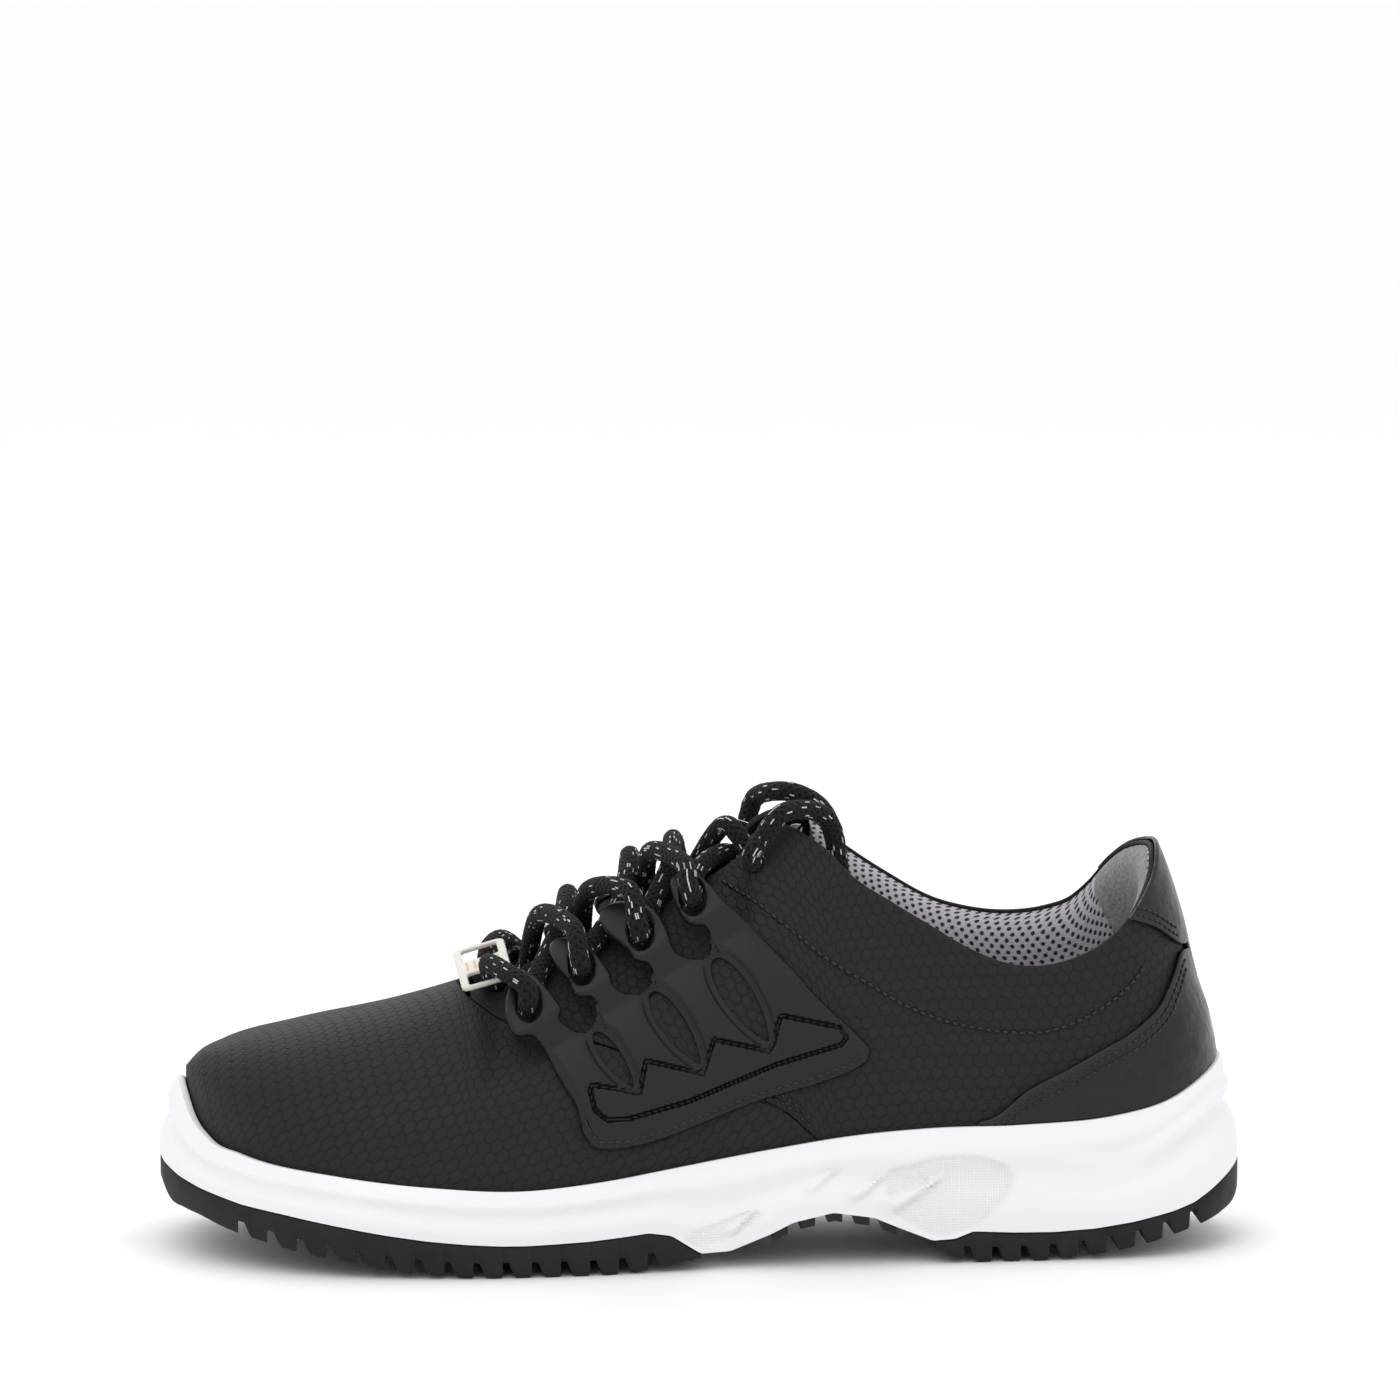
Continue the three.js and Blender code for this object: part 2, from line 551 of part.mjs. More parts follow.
const counterStart = 66 * lengthGrade;
const counterTop = graded(curve([[66, 44], [90, 56], [115, 66], [130, 72], [140.5, 75]]));
const counterHalf = [...turnsBetween(counterStart, lastHalf - 0.001).slice(0, -1)];
const counterColumns = [
  ...counterHalf, Math.PI, ...counterHalf.slice().reverse().map((theta) => 2 * Math.PI - theta)];
const counterRows = (x) => risingRows(x, floorPhi(x), phiAtHeight(x, counterTop(x)), 4);
add('heel_counter', upperShell(counterColumns, counterRows,
  upperAt(stiffenerOut), upperAt(stiffenerOut - stiffenerWall)), 'stiffener');

// ---- Linings and the collar foam ----

const vampLiningEnd = 27 * lengthGrade;
const liningTurns = turnsBetween(-lastHalf + 1e-6, vampLiningEnd);
const liningColumns = [...liningTurns.slice(1).reverse().map((theta) => -theta), 0, ...liningTurns.slice(1)];
const vampLiningTop = graded(curve([
  [-74, 69], [-68, 58], [-60, 53], [-47, 57], [-20, 72], [0, 84], [27, 94]]));
const vampLiningCrown = -76 * lengthGrade;
const vampLiningRows = (x) => {
  const top = x <= vampLiningCrown ? Math.PI / 2 : phiAtHeight(x, vampLiningTop(x));
  return risingRows(x, floorPhi(x), top, 7);
};
add('vamp_lining', upperShell(liningColumns, vampLiningRows,
  upperAt(liningOut), upperAt(liningOut - liningWall)), 'lining');

const collarStart = vampLiningEnd + 3;
const collarHalf = turnsBetween(collarStart, lastHalf - 0.001).slice(0, -1);
const collarColumns = [
  ...collarHalf, Math.PI, ...collarHalf.slice().reverse().map((theta) => 2 * Math.PI - theta)];
const collarDepth = 21;
const padRise = 8; // height over which the lining steps in at the foam's lower edge
const collarTopAt = (x, theta) =>
  (Math.sin(theta) < 0 || theta > Math.PI ? outerTopline(x) : innerTopline(x));

// One wall of the collar: rows(x, top) lists heights, and outside(row) and inside(row) the layer at each.
function collarShell(rows, outside, inside) {
  const column = (distance) => (theta) => {
    const x = stationX(theta);
    return rows(x, collarTopAt(x, theta)).map((z, row) => skin(theta, phiAtHeight(x, z), distance(row)));
  };
  return shell(collarColumns.map(column(outside)), collarColumns.map(column(inside)));
}

const padSteps = [0.35, 0.7, 1];
const padHeights = (top, low, high) => [top - low, ...padSteps.map((t) => mix(top - low, top - high, t))];
add('collar_foam', collarShell((x, top) => padHeights(top, collarDepth - fit, 1.5),
  () => liningOut, () => liningOut - foamWall), 'foam');

// The quarter lining steps in by the foam's thickness over the foam's lower edge.
const liningHeights = (x, top) => [insoleLevel(x) + innerFloor, featherLine(x),
  mix(featherLine(x), top - collarDepth - padRise, 0.5),
  top - collarDepth - padRise,
  ...padHeights(top, collarDepth, 0.5)];
const liningAt = (depth) => (row) => (row < 4 ? liningOut : collarLiningOut) - depth;
add('quarter_lining', collarShell(liningHeights, liningAt(0), liningAt(liningWall)), 'lining');

// ---- Tongue: stitched in under the vamp, padded between the eyelets, free at its top ----

const tongueHalfWidth = graded(curve([[-73, 22], [-60, 26], [-20, 27], [10, 25], [22, 20]]));
const tongueTurns = turnsBetween(-72.8 * lengthGrade, 22 * lengthGrade);
const tongueRows = 8;
function tongueOuter(point) {
  const x = point.x / lengthGrade;
  const middle = 1 - ((point.y - centreLine(point.x)) / 10) ** 2;
  const swell = (tongueOut * -1 - 0.3) * Math.max(0, middle) * smooth((x + 60) / 12) * smooth((2 - x) / 10);
  const sink = laceDiameter * 0.6 * smooth((x + 8) / 8);
  return tongueOut + swell - sink - pressedIn(point);
}
function tongueColumn(distance) {
  return (theta) => {
    const x = stationX(theta);
    const edge = phiAtReach(x, tongueHalfWidth(x));
    return steps(tongueRows).map((t) => skin(theta, mix(edge, Math.PI - edge, t), distance));
  };
}
add('tongue', shell(tongueTurns.map(tongueColumn(tongueOuter)),
  tongueTurns.map(tongueColumn((point) => tongueOuter(point) - tongueWall))), 'lining');

// ---- Leather overlays: the heel foxing and the heel tab with its back strap ----

const foxingStart = 73 * lengthGrade;
const foxingHalf = turnsBetween(foxingStart, lastHalf - 0.001).slice(0, -1);
const foxingColumns = [
  ...foxingHalf, Math.PI, ...foxingHalf.slice().reverse().map((theta) => 2 * Math.PI - theta)];
function overlay(columns, low, high, rows) {
  const column = (distance) => (theta) => {
    const x = stationX(theta);
    const [lowPhi, highPhi] = [phiAtHeight(x, low(x, theta)), phiAtHeight(x, high(x, theta))];
    return steps(rows).map((t) => skin(theta, mix(lowPhi, highPhi, t), distance));
  };
  return shell(columns.map(column(fit + overlayWall)), columns.map(column(fit)));
}
const strapStart = 139.6 * lengthGrade;
const strapFoot = 71.2;
const tabLow = (x) => (x > strapStart ? strapFoot : tabEdge(x));
const foxingHigh = (x) => (x > strapStart ? strapFoot - fit : foxingEdge(x));
add('heel_foxing', overlay(foxingColumns, (x) => featherLine(x) + fit, foxingHigh, 5), 'leather');

const tabStart = 123.5 * lengthGrade;
const tabHalf = turnsBetween(tabStart, lastHalf - 0.001).slice(0, -1);
const tabColumns = [...tabHalf, Math.PI, ...tabHalf.slice().reverse().map((theta) => 2 * Math.PI - theta)];
add('heel_tab', overlay(tabColumns, tabLow, (x, theta) => collarTopAt(x, theta), 5), 'leather');

// ---- Lace cages: moulded side plates with four lace fingers, on both sides ----

function cageUnder(point) {
  return fit + fingerLift * smooth((point.z - eyeletRow(point.x) + 13) / 9);
}
// Outline in the side view: fingers one to four from the toe, with a keyhole notch before each next one.
const cageOutline = [
  [-51.3, 78.5], [-54.9, 70.4], [-52.6, 63.9], [-46.7, 62.8], [-41, 53], [-36.3, 45.3], [-34.8, 38.8],
  [-33, 35.7], [-30.3, 33.5], [-23.3, 33.3], [-11.7, 35.7], [12, 44.3], [29.6, 49], [40.2, 53.1],
  [43.2, 56.5], [41.6, 60.5], [29.9, 71.5], [20.7, 81.7], [4.5, 97.5], [-1.5, 103.5], [-5.5, 104.2],
  [-9.5, 102], [-8, 95], [-5, 91.5], [-1, 91], [0.5, 88], [0, 83.5], [-3.5, 82.2], [-8, 83.5],
  [-10, 86.5], [-11, 90.5], [-14, 94.5], [-17.5, 96.3], [-24, 96], [-28.5, 93.2], [-27.5, 89], [-22, 85],
  [-20, 82.5], [-16, 81], [-15.5, 76.5], [-18.5, 73.5], [-22.5, 73.5], [-26, 76], [-26.5, 79],
  [-31, 84.5], [-34, 86.6], [-39.5, 86.7], [-42.5, 84.3], [-40.5, 80], [-38, 77], [-36, 73.5],
  [-31.5, 73], [-30.5, 70.5], [-31, 66.5], [-33.5, 64], [-37, 64.5], [-40.5, 67.5], [-40, 70.5],
  [-43.5, 75], [-47, 77.8]];

// A pointed leaf: round at its head, drawn out to a tip.
function leaf([headX, headZ], [tipX, tipZ], width) {
  const axis = new THREE.Vector2(tipX - headX, tipZ - headZ);
  const length = axis.length();
  axis.normalize();
  const swell = (t) => (width / 2) * 1.9 * Math.sqrt(t) * (1 - t) ** 0.75;
  const place = (t, sign) => [headX + axis.x * length * t - axis.y * swell(t) * sign,
    headZ + axis.y * length * t + axis.x * swell(t) * sign];
  const stops = [0.08, 0.3, 0.55, 0.8];
  const there = stops.map((t) => place(t, 1));
  const back = stops.slice().reverse().map((t) => place(t, -1));
  return [[headX, headZ], ...there, [tipX, tipZ], ...back];
}
const cageLeaves = [
  leaf([-31, 64], [-20.5, 49.5], 6.5),
  leaf([-15.5, 74], [-2.5, 55], 8.5),
  leaf([1.5, 82.5], [16, 60.5], 10)];
const fingerHoles = [[-48.5, 71.2], [-34, 80.3], [-18, 89.2], [-3.8, 98.2]];
const fingerHole = { across: laceDiameter + 0.9, along: laceDiameter + 3.4 };
const holeOutline = ([x, z]) => steps(11).slice(0, -1).map((t) => {
  const angle = t * 2 * Math.PI;
  return [x + (fingerHole.across / 2) * Math.cos(angle), z + (fingerHole.along / 2) * Math.sin(angle)];
});

const cageTurns = turnsBetween(-62 * lengthGrade, 52 * lengthGrade);
const cageLow = 27;
const cageReach = 4;
for (const [name, side] of [['lace_cage_lateral', -1], ['lace_cage_medial', 1]]) {
  const turns = side < 0 ? cageTurns.slice().reverse().map((theta) => -theta) : cageTurns;
  const rows = (x) => steps(8).map((t) => mix(phiAtHeight(x, cageLow), phiAtReach(x, cageReach), t));
  const plate = toSolid(upperShell(turns, rows, (point) => cageUnder(point) + cageWall, cageUnder));
  const holes = [...cageLeaves, ...fingerHoles.map(holeOutline)].map((outline) => sidePrism(outline, side));
  const outlined = plate.intersect(sidePrism(cageOutline, side));
  const cut = holes.reduce((solid, hole) => solid.subtract(hole), outlined);
  add(name, toGeometry(cut), 'cage');
}

// ---- Laces: one round braided lace, tied through all ten eyelets, its two ends tucked into the shoe ----

// Routes are written for the base size and graded with the last.
function gradedPoint([x, y, z]) {
  const centre = centreLine(x * lengthGrade);
  return new THREE.Vector3(x * lengthGrade, centre + (y - centre) * widthGrade, z);
}

// A route whose sections fall exactly on its own points, so tight turns and long runs each get what
// they need.
class Route extends THREE.CatmullRomCurve3 {
  constructor(points) {
    super(points.map(gradedPoint), false, 'catmullrom', 0.5);
  }

  getUtoTmapping(u) {
    return u;
  }
}

const laceSides = 8;
function cord(points) {
  const section = new THREE.Shape(steps(laceSides).slice(0, -1).map((t) => new THREE.Vector2(
    (laceDiameter / 2) * Math.cos(2 * Math.PI * t), (laceDiameter / 2) * Math.sin(2 * Math.PI * t))));
  const route = new Route(points);
  return new THREE.ExtrudeGeometry(section, {
    steps: points.length - 1, extrudePath: route, bevelEnabled: false });
}

// The lace run, from the outer top eyelet down to the lace tag and back up to the inner one. At each finger it
// comes over the tip, turns down through the hole and runs back under the tip to cross the tongue.
const laceRoute = [
  [15, -20.3, 112.3], [13.2, -20.6, 110], [12.6, -18.8, 107.2], [14.5, -14.4, 103.9], [13.8, -9.6, 105.9],
  [6.8, -3, 114.5], [-0.6, 6.8, 102.4], [-3.1, 10.8, 96.8], [-3.8, 16, 97.7], [-4.8, 17.2, 102.2],
  [-6.6, 12.1, 108.7], [-8.6, -4.9, 103.6], [-15.2, -16.1, 92.7], [-17.7, -20.7, 87.4], [-18, -26.1, 88.9],
  [-19, -27, 92.8], [-21.1, -22.3, 99.8], [-30.7, -5.7, 97.2], [-31.9, 12.2, 82.7], [-33.7, 17.8, 78.7],
  [-34, 22.5, 79.8], [-34.6, 23.3, 84.3], [-35.3, 16.7, 93.2], [-38.7, -3.9, 86.5], [-46.6, -21.9, 74.4],
  [-48.4, -27.5, 69.1], [-48.6, -32.9, 71], [-49, -33.1, 75.4], [-53.6, -28.3, 78.1], [-58.3, -18.8, 79.5],
  [-58, -14.1, 76.4], [-56.9, -8.4, 71.2], [-59.8, 1, 73.4], [-58.4, 6.3, 75.3], [-57, 14, 78.8],
  [-53.3, 22.7, 79.8], [-48.7, 29.2, 75.5], [-48.5, 28.6, 70.7], [-48.4, 23.5, 69.5], [-46.5, 18.2, 73.7],
  [-43.9, -2.9, 90.2], [-36.3, -23.7, 90.1], [-34.8, -28.9, 84], [-34.1, -28.5, 80], [-33.7, -23.2, 78.1],
  [-31.2, -18.3, 83.2], [-21.9, -5.6, 94.5], [-18.4, 13.5, 104.1], [-18.5, 19.9, 93.2],
  [-18.1, 19.1, 88.8], [-17.7, 13.8, 87.6], [-14.8, 9.3, 92.3], [-13.9, -4.1, 107.3], [-6.2, -20.6, 106.8],
  [-5, -25.3, 102], [-3.9, -24.1, 97.9], [-3.5, -18.7, 96.7], [-1.6, -12.8, 103.5], [5.7, -4.2, 106.9],
  [12.8, 1.5, 104.5], [14.3, 6.2, 104], [12.7, 10.3, 107.2], [12.6, 12.2, 110], [13.6, 12.4, 112.8]];
add('lace', cord(laceRoute), 'lace');

const lateralEndRoute = [
  [15.2, -20.3, 112.6], [20.7, -19.4, 119.6], [29, -15, 119.9], [34.6, -12, 115.8], [37, -10.8, 105],
  [37.5, -10.5, 92], [37.5, -10.5, 79], [37, -10.5, 66], [35, -10.7, 54], [30, -11.2, 43.5],
  [21, -12, 36.5], [9, -12.8, 31.6], [-4, -13.4, 28.2], [-17, -13.8, 25.8], [-30, -13.8, 24.2],
  [-43, -13.2, 23.4], [-56, -12.2, 23.1], [-68, -11, 23.4]];
const medialEndRoute = [
  [13.7, 12.4, 113.2], [16, 12.9, 119.7], [20.5, 4.6, 122.6], [27, 1, 122.3], [33.5, -0.3, 118],
  [37, -0.5, 109], [38, -0.2, 97], [38, 0, 84], [37.5, 0.2, 71], [36, 0.6, 58.5], [31.5, 1.2, 47],
  [23, 2, 38.8], [11.5, 3, 33], [-1.5, 4, 29], [-14.5, 5, 26.4], [-27.5, 6, 24.6], [-40.5, 7, 23.6],
  [-53.5, 8, 23.2], [-65, 9, 23.3]];
add('lace_end_lateral', cord(lateralEndRoute), 'lace');
add('lace_end_medial', cord(medialEndRoute), 'lace');

// Each aglet is the hard sleeve pressed on the end of the lace.
function addAglet(name, route) {
  const tip = gradedPoint(route.at(-1));
  const along = tip.clone().sub(gradedPoint(route.at(-2))).normalize();
  const sleeve = new THREE.CylinderGeometry(aglet.diameter / 2, aglet.diameter / 2, aglet.length, 12);
  sleeve.applyQuaternion(new THREE.Quaternion().setFromUnitVectors(new THREE.Vector3(0, 1, 0), along));
  const centre = tip.addScaledVector(along, aglet.length / 2 + fit);
  sleeve.translate(...centre.toArray());
  add(name, sleeve, 'aglet');
}
addAglet('aglet_lateral', lateralEndRoute);
addAglet('aglet_medial', medialEndRoute);

// ---- Lace tag: a clear plastic plate that rides on the first bar of the lace ----

function tagSlot(centreY) {
  const [x, y] = [tag.slotLength / 2, tag.slotWidth / 2];
  const corners = [[-x, -y], [x, -y], [x, y], [-x, y]];
  return new THREE.Path(corners.map(([a, b]) => new THREE.Vector2(a, centreY + b)));
}
const [tagX, tagY] = [tag.length / 2, tag.width / 2];
const tagShape = new THREE.Shape();
tagShape.moveTo(-tagX + tag.corner, -tagY);
tagShape.lineTo(tagX - tag.corner, -tagY);
tagShape.absarc(tagX - tag.corner, -tagY + tag.corner, tag.corner, -Math.PI / 2, 0);
tagShape.absarc(tagX - tag.corner, tagY - tag.corner, tag.corner, 0, Math.PI / 2);
tagShape.absarc(-tagX + tag.corner, tagY - tag.corner, tag.corner, Math.PI / 2, Math.PI);
tagShape.absarc(-tagX + tag.corner, -tagY + tag.corner, tag.corner, Math.PI, 1.5 * Math.PI);
tagShape.holes = [-tag.slotCentre, tag.slotCentre].map(tagSlot);
const tagPlate = new THREE.ExtrudeGeometry(tagShape, {
  depth: tag.wall, bevelEnabled: false, curveSegments: 4 });
tagPlate.translate(0, 0, -tag.wall / 2);
const tagPitch = THREE.MathUtils.degToRad(-16); // nose down, with the slope of the instep
const tagRoll = THREE.MathUtils.degToRad(14); // leaning to the outer side
const tagMesh = add('lace_tag', tagPlate, 'plastic');
tagMesh.rotation.set(tagRoll, tagPitch, 0, 'YXZ');
tagMesh.position.copy(gradedPoint([-59.5, -5, 77]));

export default shoe;
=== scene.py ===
"""Low lace-up golf shoe for the left foot, built up in the order that a shoemaker joins it.

Sizes are in millimetres and go to metres when a mesh is made. The toe points to -X, the outer side lies at -Y
and the ground at Z = 0.
"""
import math

import bmesh
import bpy
import numpy as np
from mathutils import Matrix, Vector


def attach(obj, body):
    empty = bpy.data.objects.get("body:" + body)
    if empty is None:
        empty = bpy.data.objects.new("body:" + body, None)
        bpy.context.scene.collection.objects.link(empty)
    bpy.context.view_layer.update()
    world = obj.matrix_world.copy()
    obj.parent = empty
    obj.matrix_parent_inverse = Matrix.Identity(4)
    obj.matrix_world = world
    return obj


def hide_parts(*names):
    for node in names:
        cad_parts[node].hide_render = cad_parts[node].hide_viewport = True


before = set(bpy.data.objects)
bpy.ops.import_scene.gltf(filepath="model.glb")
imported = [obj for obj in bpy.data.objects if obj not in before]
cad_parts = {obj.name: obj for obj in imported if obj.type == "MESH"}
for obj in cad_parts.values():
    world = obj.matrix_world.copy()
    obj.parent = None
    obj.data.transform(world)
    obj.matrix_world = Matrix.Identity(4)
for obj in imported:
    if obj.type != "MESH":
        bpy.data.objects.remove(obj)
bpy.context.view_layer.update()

# ---- Ground rubber ----
# Two moulded black rubber units, one under the forefoot and one under the heel, glued to the midsole.
# Transverse lugs about 4.4 mm long with 3.4 mm grooves give the grip, and a plain band shows round the side.


def linear(code):
    """A linear colour from an sRGB hex code: each channel through the sRGB curve."""
    channels = [int(code[i:i + 2], 16) / 255 for i in (1, 3, 5)]
    return (*[c / 12.92 if c < 0.04045 else ((c + 0.055) / 1.055) ** 2.4 for c in channels], 1)


def add(tree, kind, inputs={}, links={}, **settings):
    """Adds a node to a tree with its settings, its input values and its links from other sockets."""
    made = tree.nodes.new(kind)
    for name, value in settings.items():
        setattr(made, name, value)
    for name, value in inputs.items():
        made.inputs[name].default_value = value
    for name, socket in links.items():
        tree.links.new(socket, made.inputs[name])
    return made


def finish_named(name, code, roughness, **inputs):
    """A new material with its node tree and its shader, which has the base colour, roughness and inputs
    given."""
    material = bpy.data.materials.new(name)
    material.use_nodes = True
    shader = material.node_tree.nodes["Principled BSDF"]
    shader.inputs["Base Color"].default_value = linear(code)
    shader.inputs["Roughness"].default_value = roughness
    for key, value in inputs.items():
        shader.inputs[key.replace("_", " ")].default_value = value
    return material, material.node_tree, shader


def bump(tree, shader, height, depth, strength=1.0, under=None):
    """Raises the shader's surface by a height socket of 0 to 1 over a depth in millimetres."""
    made = add(tree, "ShaderNodeBump", {"Distance": depth * 0.001, "Strength": strength}, {"Height": height})
    if under:
        tree.links.new(under.outputs["Normal"], made.inputs["Normal"])
    tree.links.new(made.outputs["Normal"], shader.inputs["Normal"])
    return made


def grain(tree, size, detail=3.0, where="Object", **settings):
    """A noise whose lumps are about the given size in millimetres, on the piece's own coordinates."""
    place = add(tree, "ShaderNodeTexCoord")
    scale = 1000 / size if where == "Object" else 1 / size
    return add(tree, "ShaderNodeTexNoise", {"Scale": scale, "Detail": detail},
               {"Vector": place.outputs[where]}, **settings)


def vary(tree, shader, socket, height, low, high):
    """Drives a shader number or colour between two values by a 0 to 1 height socket."""
    ramp = add(tree, "ShaderNodeValToRGB", {}, {"Fac": height})
    for stop, value in zip(ramp.color_ramp.elements, (low, high)):
        stop.color = value if len(np.shape(value)) else (value, value, value, 1)
    ramp.color_ramp.elements[0].position = 0.3
    ramp.color_ramp.elements[1].position = 0.7
    tree.links.new(ramp.outputs["Color"], shader.inputs[socket])
    return ramp


def curve(points):
    """A smooth curve through stations: cubic pieces, each slope the weighted mean of those beside it."""
    x, y = np.array(points, float).T
    h = np.diff(x)
    d = np.diff(y) / h
    m = np.concatenate([d[:1], (d[:-1] * h[1:] + d[1:] * h[:-1]) / (h[:-1] + h[1:]), d[-1:]])

    def at(t):
        t = np.clip(np.asarray(t, float), x[0], x[-1])
        i = np.clip(np.searchsorted(x, t) - 1, 0, len(x) - 2)
        s = (t - x[i]) / h[i]
        start = (2 * s**3 - 3 * s**2 + 1) * y[i] + (s**3 - 2 * s**2 + s) * h[i] * m[i]
        return start + (3 * s**2 - 2 * s**3) * y[i + 1] + (s**3 - s**2) * h[i] * m[i + 1]
    return at


def polyline(points):
    """Straight lines through stations."""
    x, y = np.array(points, float).T
    return lambda t: np.interp(t, x, y)


def smooth(t):
    """The cubic step from 0 to 1."""
    t = np.clip(t, 0, 1)
    return t * t * (3 - 2 * t)


def mesh(name, points, faces, materials, uv=None, values={}, smooth_angle=40, weld=1e-6, which=None,
         period=None):
    """A closed mesh piece from points in millimetres: unused points dropped, doubles joined, faces turned
    outwards by the sign of the volume they hold. uv and values are given for each point, in millimetres and
    as plain numbers; period is the length of U round a tube, so that the last strip runs on past it."""
    faces = np.asarray(faces)
    used, index = np.unique(faces, return_inverse=True)
    faces = index.reshape(faces.shape)
    points = np.asarray(points, float)[used] * 0.001
    tri = points[faces[:, :3]]
    volume = np.einsum("ij,ij->i", tri[:, 0], np.cross(tri[:, 1], tri[:, 2])).sum()
    if faces.shape[1] == 4:
        tri = points[faces[:, [0, 2, 3]]]
        volume += np.einsum("ij,ij->i", tri[:, 0], np.cross(tri[:, 1], tri[:, 2])).sum()
    if volume < 0:
        faces = faces[:, ::-1]
    data = bpy.data.meshes.new(name)
    data.from_pydata(points, [], faces.tolist())
    if uv is not None:
        corners = np.asarray(uv, float)[used][faces]
        if period:
            u = corners[..., 0]
            corners[..., 0] = np.where(u < u.max(1)[:, None] - period / 2, u + period, u)
        data.uv_layers.new(name="flat").data.foreach_set("uv", corners.astype(np.float32).ravel())
    for key, value in values.items():
        attribute = data.attributes.new(key, "FLOAT", "POINT")
        attribute.data.foreach_set("value", np.asarray(value, np.float32)[used])
    for material in materials:
        data.materials.append(material)
    if which is not None:
        data.polygons.foreach_set("material_index", np.asarray(which, np.int32))
    piece = bpy.data.objects.new(name, data)
    bpy.context.scene.collection.objects.link(piece)
    tidy = bmesh_joined(data, weld)
    tidy.to_mesh(data)
    tidy.free()
    data.shade_smooth()
    if smooth_angle:
        data.set_sharp_from_angle(angle=math.radians(smooth_angle))
    return piece


def bmesh_joined(data, distance):
    """The mesh with points closer than a distance in metres made one, and faces left without area removed."""
    work = bmesh.new()
    work.from_mesh(data)
    bmesh.ops.remove_doubles(work, verts=work.verts, dist=distance)
    bmesh.ops.dissolve_degenerate(work, edges=work.edges, dist=distance * 0.5)
    return work


def ring(name, columns, materials, **more):
    """A closed body from profiles (columns, rows, 3) carried round a loop, each from pole to pole."""
    count, rows = columns.shape[:2]
    ids = np.arange(count * rows).reshape(count, rows)
    after = np.roll(ids, -1, axis=0)
    faces = np.stack([ids[:, :-1], ids[:, 1:], after[:, 1:], after[:, :-1]], -1).reshape(-1, 4)
    return mesh(name, columns.reshape(-1, 3), faces, materials, **more)


def place(piece, body, slot, *nodes):
    """Puts a finished piece on its body and hides the plain solids it stands for. slot is not used."""
    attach(piece, body)
    if nodes:
        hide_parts(*nodes)
    return piece


def refinish(node, material):
    """Gives a plain solid that stays in the model its finish."""
    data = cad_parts[node].data
    data.materials.clear()
    data.materials.append(material)


def run_along(line):
    """How far along a line of points each one lies, from 0 at the first."""
    return np.concatenate([[0], np.linalg.norm(np.diff(line, axis=0), axis=1).cumsum()])


half = 148
last_half = 140.5
fit = 0.4
centre_line = curve([
    (-140.5, 8), (-110, 4), (-75, 0), (-40, -2.5), (0, -4), (40, -4), (80, -2.5), (120, -1), (140.5, -1)])
sole_half_width = curve([
    (-148, 47), (-115, 51), (-90, 53), (-65, 53), (-35, 49.5), (0, 42.5), (35, 40), (70, 38), (148, 38.5)])
underside = polyline([
    (-148, 25.2), (-146.5, 23.6), (-142.5, 21.6), (-137, 19.9), (-126, 17.5), (-115, 16.1), (-98.7, 13.5),
    (-87.7, 11.7), (-76.7, 10.2), (-65.8, 9.2), (-57, 8.7), (-50, 8.6), (-41.5, 8.9), (-33, 9.3), (-25, 10),
    (-17, 10.8), (-11, 9.8), (-3, 4.6), (5, 5), (16, 9.3), (22, 12.3), (33, 14.7), (44, 13), (49, 10.8),
    (60, 6.3), (66, 6.6), (71, 8.5), (82, 7.9), (93, 7.8), (104, 8.5), (115, 10.1), (126, 12.3), (132, 14),
    (137, 16.5), (142.5, 19.7), (146.5, 22), (148, 23.3)])
tread = curve([
    (-148, 20), (-145.3, 14.8), (-141, 13.2), (-137, 12.4), (-131, 10.5), (-120, 8), (-110, 6), (-97, 3.9),
    (-88, 2.3), (-77, 1.2), (-62, 0), (-28, 0), (-17, 0.8), (-10, 2.1), (-3, 3.6), (60, 5), (64, 2.4),
    (72, 0), (90, 0), (99, 0.8), (107, 1.7), (115, 3), (122, 4.6), (133, 7.4), (137, 8.4), (141, 9.8),
    (146, 12.5), (148, 15)])


def plan_round(x, ends, toe, heel):
    """How much the plan outline has narrowed near the toe and the heel: superellipse quarters."""
    toe_part = np.clip((x + ends) / toe, 0, 1)
    heel_part = np.clip((ends - x) / heel, 0, 1)
    return np.sqrt(1 - (1 - toe_part) ** 2.5) * (1 - (1 - heel_part) ** 2.3) ** (1 / 2.1)


def sole_reach(x):
    """Half width of the sole's outline at station x."""
    return sole_half_width(x) * plan_round(x, half, 62, 42)


def sole_centre(x):
    return centre_line(x * last_half / half)


lug_pitch, lug_length, lug_depth = 7.8, 4.4, 3.9
lug_lean = 1.3  # how far the lug's root stands ahead of its face
channel = 1.7  # half width of the two long channels that cross the lugs


